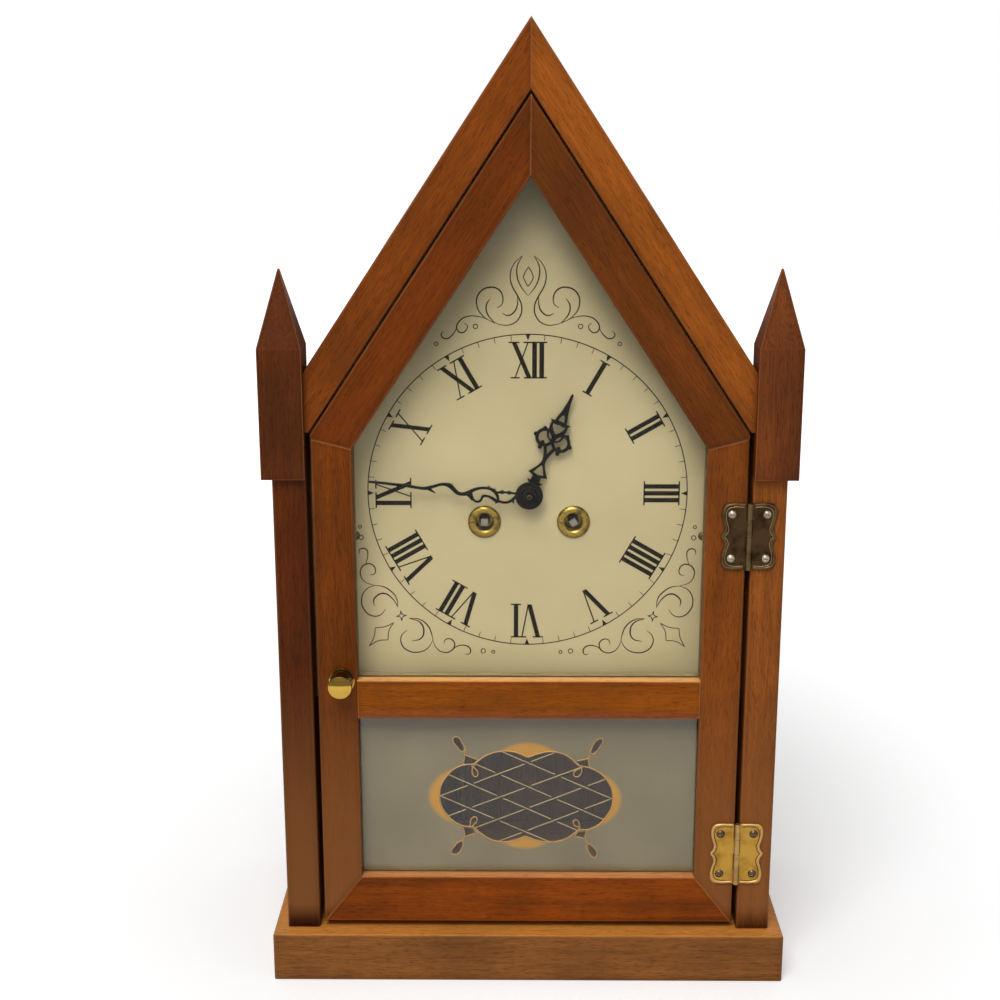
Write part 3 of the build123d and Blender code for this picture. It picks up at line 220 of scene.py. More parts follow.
def stained_wood(name, tone, grain, seed, wear_and_highlight=(168, 104, 62), gloss=0.36, contrast=0.16,
                 floor_reflection_and_foot_stain=False, top_highlight=None, reflected_low_band=None):
    """Lacquered hardwood. grain is the angle of its fibres from level, in the plane of the front. ledge
    is the colour of its upward faces, a painted highlight of the light they catch, and reflected_low_band the
    height and colour of a band along its foot, a painted reflection of light from below."""
    dark = [level * (1 - contrast) for level in tone]
    light = [level * (1 + contrast) for level in tone]
    material, tree, shader = new_material(name)
    place = object_place(tree)
    along = node(tree, "Mapping", {"Vector": place, "Rotation": (0, radians(grain), 0),
                                   "Location": (seed, seed / 3, seed / 7)}).outputs[0]

    def streaks(length, width, detail, distortion=0.0):
        stretched = node(tree, "Mapping", {"Vector": along, "Scale": (1 / length, 1 / width, 1 / width)})
        return noise(tree, stretched.outputs[0], 1.0, detail, Distortion=distortion)

    figure = streaks(110 * mm, 22 * mm, 3.0, 0.4)
    rings = streaks(160 * mm, 5.5 * mm, 3.0, 0.6)
    fibres = streaks(12 * mm, 0.6 * mm, 3.0)
    pores = streaks(4 * mm, 0.35 * mm, 1.0)
    clouds = noise(tree, along, 26.0, 3.0)
    shade = node(tree, "Mix", {0: 0.5, 2: figure, 3: rings}).outputs[0]
    shade = node(tree, "Mix", {0: 0.4, 2: shade, 3: clouds}).outputs[0]
    colour = ramp(tree, shade, [(0.36, paint(*dark)), (0.62, paint(*light))])
    # Painted highlight: upward faces are mixed towards a lighter colour for the light they catch.
    if top_highlight:
        upward = coordinate(tree, node(tree, "NewGeometry").outputs["Normal"], "Z")
        lit = combine(tree, "MULTIPLY", ramp(tree, upward, [(0.5, (0,)), (0.9, (1,))]),
                      ramp(tree, shade, [(0.3, (0.7,)), (0.65, (0.95,))]))
        colour = blend_colours(tree, "MIX", lit, colour, paint(*top_highlight))
    # Painted reflection: a band along the foot is mixed towards a tone for light reflected up from below.
    if reflected_low_band:
        border, reflected_tone = reflected_low_band
        band = below(tree, coordinate(tree, place, "Z"), border, band_blur, band_strength)
        colour = blend_colours(tree, "MIX", band, colour, paint(*reflected_tone))
    colour = blend_colours(tree, "MULTIPLY", 0.7, colour, ramp(tree, fibres, [(0.3, (0.72,)), (0.7, (1.2,))]))
    colour = blend_colours(tree, "MULTIPLY", 0.6, colour, ramp(tree, pores, [(0.33, (0.4,)), (0.44, (1,))]))
    if floor_reflection_and_foot_stain:
        # The stops of these two ramps are heights above the floor in metres
        height = coordinate(tree, place, "Z")
        # Painted reflection: the haze is a paler tone mixed in near the foot for light reflected up from the
        # floor, and the charred strip under it is dark stain.
        haze = ramp(tree, height, [(0.026, (0.0,)), (0.034, (0.75,)), (0.08, (0.6,)), (0.15, (0,))])
        colour = blend_colours(tree, "MIX", haze, colour, paint(*floor_reflection_tone))
        charred = ramp(tree, height, [(0.024, (0.35,)), (0.033, (1,))])
        colour = blend_colours(tree, "MULTIPLY", 1.0, colour, charred)
    # Near an arris the wood is darkened and its middle lightened a little: stain along the edges, and painted
    # shade of a crowned face.
    inside = rounding(tree, edge_stain_and_crown_reach)[1]
    edge_stain_and_crown_shade = ramp(tree, inside, [(0.75, (0.62,)), (0.995, (1.06,))])
    colour = blend_colours(tree, "MULTIPLY", 0.85, colour, edge_stain_and_crown_shade)
    # Arrises are mixed in patches towards a paler colour: wear, and a painted highlight where they catch the
    # light.
    rounded, edge = arris_closeness(tree, arris_radius)
    patchy = ramp(tree, figure, [(0.35, (0.3,)), (0.6, (0.9,))])
    colour = blend_colours(tree, "MIX", combine(tree, "MULTIPLY", edge, patchy), colour, paint(*wear_and_highlight))
    # Within reach of a corner or crack the wood is darkened: dark stain in the joints, and painted shade in
    # the corners.
    joint_stain_and_shade = ramp(tree, openness(tree, crevice_stain_and_shade_reach), [(0.2, (0.5,)), (0.6, (1,))])
    colour = blend_colours(tree, "MULTIPLY", 0.7, colour, joint_stain_and_shade)
    relief = node(tree, "Mix", {0: 0.4, 2: fibres, 3: pores}).outputs[0]
    bump = node(tree, "Bump", {"Height": relief, "Normal": rounded, "Strength": 0.25, "Distance": 0.15 * mm})
    rough = node(tree, "MapRange", {"Value": fibres, "To Min": gloss - 0.05, "To Max": gloss + 0.1})
    set_sockets(tree, shader, {"Base Color": colour, "Roughness": rough.outputs[0], "Normal": bump.outputs[0],
                               "Specular IOR Level": 0.08})
    return material


def dress(material, *names):
    for name in names:
        for slot in nodes[name].material_slots:
            slot.material = material


# The base's top faces take a painted highlight colour.
dress(stained_wood("base_wood", (122, 76, 36), 0, 1.3, wear_and_highlight=(190, 126, 72), top_highlight=(206, 134, 58)),
      "base_plinth")

# Carcass: side and roof panels of the same stained wood, mitred at the eaves and the ridge. Their grain
# follows their length, up the sides and up the slope of the roof.
roof_pitch = 56.3
case_tone = (112, 56, 18)
dress(stained_wood("panel_wood", case_tone, 90, 2.1), "left_side_panel", "right_side_panel")
dress(stained_wood("left_roof_wood", case_tone, roof_pitch, 3.7), "left_roof_panel")
dress(stained_wood("right_roof_wood", case_tone, -roof_pitch, 4.9), "right_roof_panel")

# Front frame: columns, square finials with a pyramid spire, and gable rails mitred at the peak, glued
# to the front edges of the carcass. Near the foot a paler tone is painted in as the floor's reflection,
# and the cut ends are dark with stain.
dress(stained_wood("left_gable_wood", (118, 58, 12), roof_pitch, 5.3), "left_gable_rail")
dress(stained_wood("right_gable_wood", (132, 70, 20), -roof_pitch, 6.1), "right_gable_rail")
dress(stained_wood("left_column_wood", (78, 34, 6), 90, 7.9, floor_reflection_and_foot_stain=True), "left_column")
dress(stained_wood("right_column_wood", (124, 68, 24), 90, 8.3, floor_reflection_and_foot_stain=True), "right_column")
dress(stained_wood("left_finial_wood", (84, 40, 12), 90, 9.7), "left_finial")
dress(stained_wood("right_finial_wood", (106, 54, 22), 90, 9.1), "right_finial")

# Door frame: stiles, rafters and two rails, mitred and glued. The rails are a warmer, brighter piece of
# wood than the stiles.
# The stiles also take a paler tone near their foot, a painted reflection of the floor.
dress(stained_wood("left_stile_wood", (108, 52, 8), 90, 10.3, floor_reflection_and_foot_stain=True), "door_left_stile")
dress(stained_wood("right_stile_wood", (120, 62, 16), 90, 10.9, floor_reflection_and_foot_stain=True), "door_right_stile")
dress(stained_wood("left_rafter_wood", (98, 45, 6), roof_pitch, 11.9), "door_left_rafter")
dress(stained_wood("right_rafter_wood", (98, 49, 12), -roof_pitch, 12.7), "door_right_rafter")
# The rails' upward faces take a painted highlight colour, and a band along the middle rail's foot is a
# painted reflection of light from the base.
rail_low, rail_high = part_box("door_middle_rail")
band_share = 0.19
rail_border = rail_low.z + band_share * (rail_high.z - rail_low.z)
dress(stained_wood("middle_rail_wood", (140, 72, 8), 0, 13.1, wear_and_highlight=(214, 136, 70), top_highlight=(255, 188, 114),
                   reflected_low_band=(rail_border, (138, 72, 40))), "door_middle_rail")
dress(stained_wood("bottom_rail_wood", (124, 58, 6), 0, 13.9, wear_and_highlight=(206, 126, 72), contrast=0.24,
                   top_highlight=(206, 136, 78)), "door_bottom_rail")
dress(stained_wood("bead_wood", (150, 128, 90), 0, 14.3, wear_and_highlight=(172, 150, 112), gloss=0.6, contrast=0.08,
                   top_highlight=(150, 134, 96)), "glazing_beads")

# Back and dial board: thin plywood, let into rabbets and screwed. The back has a wash of stain, and the
# board is left raw.
dress(stained_wood("back_plywood", (138, 100, 62), 90, 15.1, gloss=0.6), "back_panel")
dress(stained_wood("board_plywood", (168, 136, 96), 90, 16.7, gloss=0.7), "dial_board")

# Glass: 2 mm float glass held in the door's rabbets, clear over the dial and painted on its back below.
# Lamp light passes straight through, so that the dial behind is lit.
glass_tint, shadow_tint = (250, 252, 250), (246, 248, 246)


def clear_glass(name, bending):
    """bending is the index of refraction: the dial's pane hardly reflects, the tablet's does as usual."""
    material, tree, shader = new_material(name)
    haze = noise(tree, object_place(tree), 30.0, 2.0)
    rough = ramp(tree, haze, [(0.4, (0.0,)), (0.7, (0.03,))])
    set_sockets(tree, shader, {"Base Color": paint(*glass_tint), "Roughness": rough, "IOR": bending,
                               "Transmission Weight": 1.0})
    through = node(tree, "BsdfTransparent", {"Color": paint(*shadow_tint)}).outputs[0]
    lamp_ray = node(tree, "LightPath").outputs["Is Shadow Ray"]
    mixed = node(tree, "MixShader", {0: lamp_ray, 1: shader.outputs[0], 2: through}).outputs[0]
    tree.links.new(mixed, tree.nodes["Material Output"].inputs["Surface"])
    return material


dress(clear_glass("dial_pane_glass", 1.18), "dial_glass")
dress(clear_glass("tablet_pane_glass", 1.5), "tablet_glass")

# Knob and catch: a turned and polished brass pull, a plated strike plate and a moulded magnetic catch.
# The metal made here also serves the hinges, the dial and the movement: a clean colour, a tarnish that
# clouds over it and fine wear in its roughness.
border_blur, metal_arris = 0.25 * mm, 0.25 * mm


def worn_metal(name, clean, tarnish, roughness, cloud=120.0, tarnished=0.5, metallic=1.0, grime_and_shade=0.6,
               split=None, crevice_depth=1.2 * mm):
    """split is (axis, place, clean, tarnish): the colours where the axis is below that place."""
    material, tree, shader = new_material(name)
    place = object_place(tree)
    clouds = noise(tree, place, cloud, 5.0, Roughness=0.6)
    fine = noise(tree, place, 1800.0, 3.0)
    low = 0.72 - 0.45 * tarnished

    def clouded(bare, dull):
        return ramp(tree, clouds, [(low, paint(*bare)), (low + 0.2, paint(*dull))])

    colour = clouded(clean, tarnish)
    if split:
        axis, border, other_clean, other_tarnish = split
        under = below(tree, coordinate(tree, place, axis), border, border_blur)
        colour = blend_colours(tree, "MIX", under, colour, clouded(other_clean, other_tarnish))
    # Painted highlight: arrises are mixed towards a brighter colour, for wear and for the light they catch.
    rounded, edge = arris_closeness(tree, metal_arris)
    bright = paint(*[min(255, round(level * 1.15)) for level in clean])
    colour = blend_colours(tree, "MIX", combine(tree, "MULTIPLY", edge, 0.6), colour, bright)
    # Hollows within the crevice depth are darkened, both as tarnish and as painted shade.
    grime_and_shade_share = ramp(tree, openness(tree, crevice_depth), [(0.2, (0.2,)), (0.8, (1,))])
    colour = blend_colours(tree, "MULTIPLY", grime_and_shade, colour, grime_and_shade_share)
    rough = node(tree, "MapRange", {"Value": clouds, "To Min": roughness * 0.7, "To Max": roughness * 1.5})
    bump = node(tree, "Bump", {"Height": fine, "Normal": rounded, "Strength": 0.12, "Distance": 0.05 * mm})
    set_sockets(tree, shader, {"Base Color": colour, "Metallic": metallic, "Roughness": rough.outputs[0],
                               "Normal": bump.outputs[0],
                               "Specular IOR Level": 0.5 if metallic else 0.12})
    return material


# Painted reflection: the knob's upper half is coloured dark olive and its lower half bright gold, for the
# room mirrored in it.
knob_low, knob_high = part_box("door_knob")
reflection_height = (knob_low.z + knob_high.z) / 2 + 1 * mm
dress(worn_metal("knob_brass", (120, 98, 44), (66, 52, 22), 0.2,
                 split=("Z", reflection_height, (224, 180, 82), (176, 132, 52))), "door_knob")
dress(worn_metal("strike_steel", (170, 170, 168), (126, 124, 120), 0.3), "strike_plate")
dress(worn_metal("catch_plastic", (58, 36, 24), (48, 30, 20), 0.5, metallic=0.0), "magnet_catch")

# Hinges: stamped brass leaves with a scalloped outer edge and a raised border, held by round-head
# screws. The upper hinge has darkened and its screws are bright; the lower one is the other way round.
upper_leaves = ["upper_hinge_case_leaf", "upper_hinge_door_leaf"]
lower_leaves = ["lower_hinge_case_leaf", "lower_hinge_door_leaf"]
hinge_axis_x = (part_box("hinge_pins")[0].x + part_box("hinge_pins")[1].x) / 2
knuckle_edge = 1.4 * mm
aged_leaf, aged_knuckle = ((80, 60, 38), (46, 33, 19)), ((112, 92, 62), (70, 54, 34))
bright_leaf, bright_knuckle = ((204, 158, 70), (170, 124, 50)), ((198, 164, 108), (164, 128, 76))
for (case_leaf, door_leaf), leaf, knuckle in ((upper_leaves, aged_leaf, aged_knuckle),
                                              (lower_leaves, bright_leaf, bright_knuckle)):
    dress(worn_metal(case_leaf + "_brass", *leaf, 0.34, tarnished=0.6,
                     split=("X", hinge_axis_x + knuckle_edge, *knuckle)), case_leaf)
    dress(worn_metal(door_leaf + "_brass", *knuckle, 0.34, tarnished=0.6,
                     split=("X", hinge_axis_x - knuckle_edge, *leaf)), door_leaf)
dress(worn_metal("hinge_pin_brass", (178, 150, 96), (124, 98, 56), 0.34), "hinge_pins")
between_hinges = 140 * mm
dress(worn_metal("hinge_screw_metal", (176, 164, 142), (110, 94, 74), 0.25,
                 split=("Z", between_hinges, (98, 74, 56), (58, 42, 30))), "case_hinge_screws",
      "door_hinge_screws")

# Hinge borders: the press that stamps a leaf leaves a raised band round it and a fine groove inside the
# band. Both follow the scalloped outline.
swell_least, swell_more = 0.55, 0.8
steps_between_points = 5


def finish_piece(name, mesh, material, body):
    mesh.name = name
    mesh.materials.clear()
    mesh.materials.append(material)
    piece = bpy.data.objects.new(name, mesh)
    scene.collection.objects.link(piece)
    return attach(piece, body)


def curve_mesh(curve):
    source = bpy.data.objects.new(curve.name, curve)
    scene.collection.objects.link(source)
    mesh = bpy.data.meshes.new_from_object(source)
    bpy.data.objects.remove(source)
    return mesh


def pen_strokes(name, strokes, half_width, plane_y, flatness, body, material, mirror_x=None):
    """Rounded raised lines on the plane y = plane_y. A stroke is (places, weight, kind): an open one
    swells like a pen's, and a pointed one is closed with a corner at every second place."""
    curve = bpy.data.curves.new(name, "CURVE")
    curve.dimensions = "3D"
    curve.bevel_depth = half_width
    curve.bevel_resolution = 1
    curve.resolution_u = steps_between_points
    curve.use_fill_caps = True
    for mirrored in (False, True) if mirror_x is not None else (False,):
        for places, weight, kind in strokes:
            line = curve.splines.new("BEZIER")
            line.bezier_points.add(len(places) - 1)
            line.use_cyclic_u = kind in ("ring", "pointed")
            for i, (point, place) in enumerate(zip(line.bezier_points, places)):
                share = i / max(1, len(places) - 1)
                swell = swell_least + swell_more * sin(pi * share) if kind == "pen" else 1
                corner = kind == "line" or (kind == "pointed" and i % 2 == 0)
                point.co = (2 * mirror_x - place.x if mirrored else place.x, 0, place.z)
                point.handle_left_type = point.handle_right_type = "VECTOR" if corner else "AUTO"
                point.radius = weight * swell
    mesh = curve_mesh(curve)
    mesh.transform(Matrix.Translation((0, plane_y, 0)) @ Matrix.Diagonal((1, flatness, 1, 1)))
    return finish_piece(name, mesh, material, body)


leaf_thickness = 0.9 * mm
leaf_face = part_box("left_column")[0].y - leaf_thickness
barrel_side = 2.2 * mm
leaf_shares = [(0.72, 1), (0.91, 0.93), (0.98, 0.72), (0.93, 0.46), (0.87, 0.27), (0.92, 0.1), (1, 0)]
band_half, band_height = 0.68 * mm, 0.16 * mm
groove_half, groove_inset, groove_flatness = 0.18 * mm, 1.632 * mm, 0.5
aged_band = worn_metal("aged_hinge_band", (104, 82, 54), (62, 48, 30), 0.3, tarnished=0.5)
aged_line = worn_metal("aged_hinge_line", (168, 144, 108), (116, 94, 64), 0.28, tarnished=0.4)
bright_band = worn_metal("bright_hinge_band", (208, 168, 108), (186, 142, 84), 0.36, tarnished=0.4)
bright_line = worn_metal("bright_hinge_line", (92, 68, 24), (70, 52, 18), 0.4)
for level, band_finish, line_finish in (("upper", aged_band, aged_line),
                                        ("lower", bright_band, bright_line)):
    for side, body in (("case", "case"), ("door", "door")):
        low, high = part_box(f"{level}_hinge_{side}_leaf")
        middle_z, half_height = (low.z + high.z) / 2, (high.z - low.z) / 2
        outward, edge_x = (1, high.x) if side == "case" else (-1, low.x)
        leaf_width = abs(edge_x - hinge_axis_x)

        def leaf_path(inset):
            upper = [(share * leaf_width - inset, height * (half_height - inset))
                     for share, height in leaf_shares]
            lower = [(x, -z) for x, z in upper[-2::-1]]
            path = ([(barrel_side, half_height - inset)] + upper + lower
                    + [(barrel_side, inset - half_height)])
            return [Vector((hinge_axis_x + outward * x, 0, middle_z + z)) for x, z in path]

        pen_strokes(f"{level}_{side}_leaf_band", [(leaf_path(band_half), 1.0, "band")], band_half, leaf_face,
                    band_height / band_half, body, band_finish)
        pen_strokes(f"{level}_{side}_leaf_line", [(leaf_path(groove_inset), 1.0, "band")], groove_half,
                    leaf_face, groove_flatness, body, line_finish)


# Tablet: the lower pane is painted on its back with a frosted grey-green, left clear in a lobed window
# that a gold rim, loops, leaves and an interlaced lattice decorate. Points are pixels of one crop.
tablet_corner, tablet_enlarged = (400, 720), 6.03
pane_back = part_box("tablet_glass")[1].y
gold_plane, paint_front, paint_thick = pane_back + 0.03 * mm, pane_back + 0.07 * mm, 0.04 * mm
light_half_width, light_low, light_high = 77.2 * mm, 49.1 * mm, 127.5 * mm


def from_crop(points, corner, enlarged, plane_y):
    return [at_pixel(corner[0] + x / enlarged, corner[1] + y / enlarged, plane_y) for x, y in points]


def on_tablet(points):
    return from_crop(points, tablet_corner, tablet_enlarged, gold_plane)


window_pixels = [(448, 262), (512, 215), (600, 187), (690, 190), (770, 222), (850, 196), (925, 188),
                 (1010, 215), (1075, 272), (1150, 288), (1240, 350), (1283, 478), (1230, 595), (1150, 652),
                 (1075, 660), (1000, 712), (905, 732), (825, 722), (755, 697), (690, 720), (600, 730),
                 (520, 702), (445, 640), (375, 632), (290, 575), (238, 455), (290, 325), (370, 272)]
window_cusps = [0, 4, 8, 14, 18, 22]
quad_pixels = [[(390, 210), (465, 235), (442, 262), (382, 260)],
               [(1072, 245), (1135, 230), (1142, 280), (1088, 278)],
               [(378, 642), (438, 648), (452, 680), (390, 700)],
               [(1060, 678), (1125, 665), (1115, 710), (1056, 700)]]
leaf_pixels = [[(385, 187), (345, 160), (320, 110), (340, 98), (372, 130)],
               [(1153, 200), (1160, 158), (1190, 118), (1218, 112), (1205, 160)],
               [(375, 727), (372, 772), (340, 805), (314, 798), (330, 755)],
               [(1132, 745), (1165, 762), (1187, 805), (1172, 825), (1142, 800)]]
loop_pixels = [[(455, 262), (436, 290), (440, 325), (458, 338), (470, 318), (455, 292), (430, 272)],
               [(1070, 262), (1094, 292), (1090, 322), (1064, 340), (1046, 325), (1062, 300), (1100, 285)],
               [(425, 650), (424, 615), (438, 585), (460, 584), (462, 610), (440, 635), (470, 680)],
               [(1085, 665), (1082, 625), (1066, 600), (1046, 606), (1052, 632), (1078, 645), (1058, 690)]]
stem_pixels = [[(382, 262), (388, 225), (388, 187)], [(388, 205), (430, 222), (470, 235)],
               [(1142, 280), (1136, 235), (1150, 200)], [(1140, 228), (1100, 238), (1070, 242)],
               [(380, 642), (390, 690), (376, 728)], [(388, 702), (420, 690), (455, 678)],
               [(1125, 662), (1115, 710), (1132, 746)], [(1112, 712), (1085, 704), (1055, 700)]]
falling_pixels = [((620, 190), (1283, 475)), ((455, 262), (1230, 598)), ((290, 325), (1075, 665)),
                  ((245, 455), (900, 730))]
rising_pixels = [((240, 455), (930, 195)), ((290, 575), (1085, 285)), ((455, 645), (1235, 355)),
                 ((600, 725), (1265, 475))]
bloom_pixels = [((425, 455), 262, 188), ((1095, 475), 250, 188), ((770, 300), 232, 175),
                ((757, 612), 218, 168)]


def fill_outline(curve, places, corners):
    line = curve.splines.new("BEZIER")
    line.bezier_points.add(len(places) - 1)
    line.use_cyclic_u = True
    for i, (point, place) in enumerate(zip(line.bezier_points, places)):
        point.co = (place.x, place.z, 0)
        sharp = corners == "all" or i in corners
        point.handle_left_type = point.handle_right_type = "VECTOR" if sharp else "AUTO"


def frosted_paint():
    material, tree, shader = new_material("tablet_paint")
    place = object_place(tree)
    clouds = noise(tree, place, 35.0, 4.0)
    grain = noise(tree, place, 900.0, 2.0)
    colour = ramp(tree, clouds, [(0.3, paint(114, 100, 73)), (0.7, paint(128, 114, 86))])
    colour = blend_colours(tree, "MULTIPLY", 0.5, colour, ramp(tree, grain, [(0.3, (0.98,)), (0.7, (1.01,))]))
    bloom = None
    for centre, reach_x, reach_z in bloom_pixels:
        x, z = centre
        middle, right, below = on_tablet([centre, (x + reach_x, z), (x, z + reach_z)])
        spread = node(tree, "Mapping", {"Vector": place, "Location": middle,
                                        "Scale": (right.x - middle.x, 1, middle.z - below.z)},
                      vector_type="TEXTURE").outputs[0]
        reach = node(tree, "VectorMath", {0: spread}, operation="LENGTH").outputs["Value"]
        glow = ramp(tree, reach, [(0.88, (1,)), (1.06, (0,))])
        bloom = combine(tree, "MAXIMUM", bloom, glow) if bloom else glow
    colour = blend_colours(tree, "MIX", combine(tree, "MULTIPLY", bloom, 0.95), colour, paint(188, 130, 24))
    bump = node(tree, "Bump", {"Height": grain, "Strength": 0.02, "Distance": 0.03 * mm})
    set_sockets(tree, shader, {"Base Color": colour, "Roughness": 0.6, "Normal": bump.outputs[0],
                               "Specular IOR Level": 0.15})
    return material


sheet = bpy.data.curves.new("tablet_paint", "CURVE")
sheet.dimensions = "2D"
sheet.fill_mode = "BOTH"
sheet.extrude = paint_thick / 2
sheet.resolution_u = 8
pane_corners = [(-1, light_low), (1, light_low), (1, light_high), (-1, light_high)]
fill_outline(sheet, [Vector((side * light_half_width, 0, z)) for side, z in pane_corners], "all")
fill_outline(sheet, on_tablet(window_pixels), window_cusps)
for pixels in quad_pixels:
    fill_outline(sheet, on_tablet(pixels), "all")
for pixels in leaf_pixels:
    fill_outline(sheet, on_tablet(pixels), [0])
mesh = curve_mesh(sheet)
mesh.transform(Matrix.Translation((0, paint_front + paint_thick / 2, 0)) @ Matrix.Rotation(pi / 2, 4, "X"))
finish_piece("tablet_paint", mesh, frosted_paint(), "door")

# Gold lines of the tablet: the rim with its loops and leaves, and the lattice, whose lines stop short
# where they pass under another.
gold_paint = worn_metal("gold_paint", (188, 138, 64), (172, 122, 52), 0.5, metallic=0.0, grime_and_shade=0.0)
pale_gold = worn_metal("pale_gold", (170, 144, 98), (152, 128, 84), 0.5, metallic=0.0, grime_and_shade=0.0)
rim_half_width, lattice_half_width, gold_flatness = 0.4 * mm, 0.34 * mm, 0.08
under_gap_pixels = 20
rim = window_pixels + window_pixels[:1]
arches = [rim[a:b + 1] for a, b in zip(window_cusps, window_cusps[1:] + [len(window_pixels)])]
gold_strokes = [(on_tablet(arch), 1.0, "band") for arch in arches]
gold_strokes += [(on_tablet(pixels), 0.9, "band") for pixels in loop_pixels + stem_pixels]
gold_strokes += [(on_tablet(pixels), 0.9, "ring") for pixels in leaf_pixels]
pen_strokes("tablet_gold_rim", gold_strokes, rim_half_width, gold_plane, gold_flatness, "door", gold_paint)


def meet(first, second):
    """Where the first line crosses the second one, as a share of the first."""
    (ax, ay), (bx, by) = first
    (cx, cy), (dx, dy) = second
    across = (bx - ax) * (dy - cy) - (by - ay) * (dx - cx)
    return ((cx - ax) * (dy - cy) - (cy - ay) * (dx - cx)) / across


lattice = []
for lines, others, falling in ((falling_pixels, rising_pixels, True), (rising_pixels, falling_pixels, False)):
    for i, line in enumerate(lines):
        (ax, ay), (bx, by) = line
        cuts = [meet(line, other) for j, other in enumerate(others)
                if 0 < meet(line, other) < 1 and 0 < meet(other, line) < 1 and ((i + j) % 2 == 0) != falling]
        half_gap = under_gap_pixels / hypot(bx - ax, by - ay)
        stops = [0] + [edge for cut in sorted(cuts) for edge in (cut - half_gap, cut + half_gap)]
        for start, end in zip(stops[::2], stops[1::2] + [1]):
            ends = [(ax + (bx - ax) * share, ay + (by - ay) * share) for share in (start, end)]
            lattice.append((on_tablet(ends), 1.0, "line"))
pen_strokes("tablet_lattice", lattice, lattice_half_width, gold_plane, gold_flatness, "door", pale_gold)

# Dial: a thin metal plate with baked cream enamel, held by two bronze screws. Brass rings are pressed
# into its winding holes.
dial_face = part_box("dial_plate")[0].y
dial_shade_reach, dial_shade_samples = 14 * mm, 8


def dial_enamel():
    material, tree, shader = new_material("dial_paint")
    place = object_place(tree)
    clouds = noise(tree, place, 22.0, 4.0)
    specks = noise(tree, place, 900.0, 2.0)
    colour = ramp(tree, clouds, [(0.3, paint(187, 169, 128)), (0.7, paint(195, 177, 137))])
    colour = blend_colours(tree, "MULTIPLY", 0.5, colour, ramp(tree, specks, [(0.24, (0.8,)), (0.34, (1,))]))
    # Painted shade: the enamel is darkened towards the apex, where the door frame shades it.
    # The stops of this ramp are heights above the floor in metres
    painted_apex_shade = ramp(tree, coordinate(tree, place, "Z"), [(0.25, (1,)), (0.3, (0.84,)), (0.36, (0.7,))])
    colour = blend_colours(tree, "MULTIPLY", 1.0, colour, painted_apex_shade)
    shaded = ramp(tree, openness(tree, dial_shade_reach, dial_shade_samples), [(0.2, (0.5,)), (0.9, (1,))])
    colour = blend_colours(tree, "MULTIPLY", 0.5, colour, shaded)
    bump = node(tree, "Bump", {"Height": clouds, "Strength": 0.1, "Distance": 0.3 * mm})
    rough = node(tree, "MapRange", {"Value": clouds, "To Min": 0.3, "To Max": 0.45})
    set_sockets(tree, shader, {"Base Color": colour, "Roughness": rough.outputs[0],
                               "Normal": bump.outputs[0], "Specular IOR Level": 0.2})
    return material


dress(dial_enamel(), "dial_plate")
dress(worn_metal("dial_screw_bronze", (96, 78, 52), (60, 46, 32), 0.35), "dial_screws")
# The grommets are darkened 5 mm into their bores: tarnish, and painted shade in the holes.
dress(worn_metal("grommet_brass", (166, 138, 66), (92, 72, 32), 0.26, cloud=260.0, grime_and_shade=0.95,
                 crevice_depth=5 * mm), "winding_grommets")


# Printed figures: black Roman numerals with thick and thin strokes and flat serifs, their tops turned
# outwards, printed on the enamel.
def ink(name, colour):
    material, tree, shader = new_material(name)
    grain = noise(tree, object_place(tree), 2500.0, 2.0)
    lighter = [level + 8 for level in colour]
    tone = ramp(tree, grain, [(0.35, paint(*colour)), (0.7, paint(*lighter))])
    bump = node(tree, "Bump", {"Height": grain, "Strength": 0.03, "Distance": 0.02 * mm})
    set_sockets(tree, shader, {"Base Color": tone, "Roughness": 0.5, "Normal": bump.outputs[0],
                               "Specular IOR Level": 0.1})
    return material


black_ink = ink("black_ink", (22, 14, 5))
ink_height = 0.04 * mm
nut_low, nut_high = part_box("hand_nut")
print_shift = -0.75 * mm
print_centre = Vector((print_shift, dial_face, (nut_low.z + nut_high.z) / 2))


def slab(shape, turn, x_top, x_foot, width, foot, top, height):
    """A flat stroke on the dial, leaning from x_foot to x_top, turned clockwise with its numeral."""
    middle = Vector(((x_top + x_foot) / 2, -height / 2, (foot + top) / 2))
    lean = Matrix(((width, 0, x_top - x_foot, middle.x), (0, height, 0, middle.y),
                   (0, 0, top - foot, middle.z), (0, 0, 0, 1)))
    place = Matrix.Translation(print_centre) @ Matrix.Rotation(turn, 4, "Y")
    bmesh.ops.create_cube(shape, size=1, matrix=place @ lean)


numeral_foot, numeral_top = 52.2 * mm, 67.8 * mm
thick, thin = 2.05 * mm, 0.6 * mm
serif_height, serif_past, serif_rise = 0.62 * mm, 1.35 * mm, 1.2 * ink_height
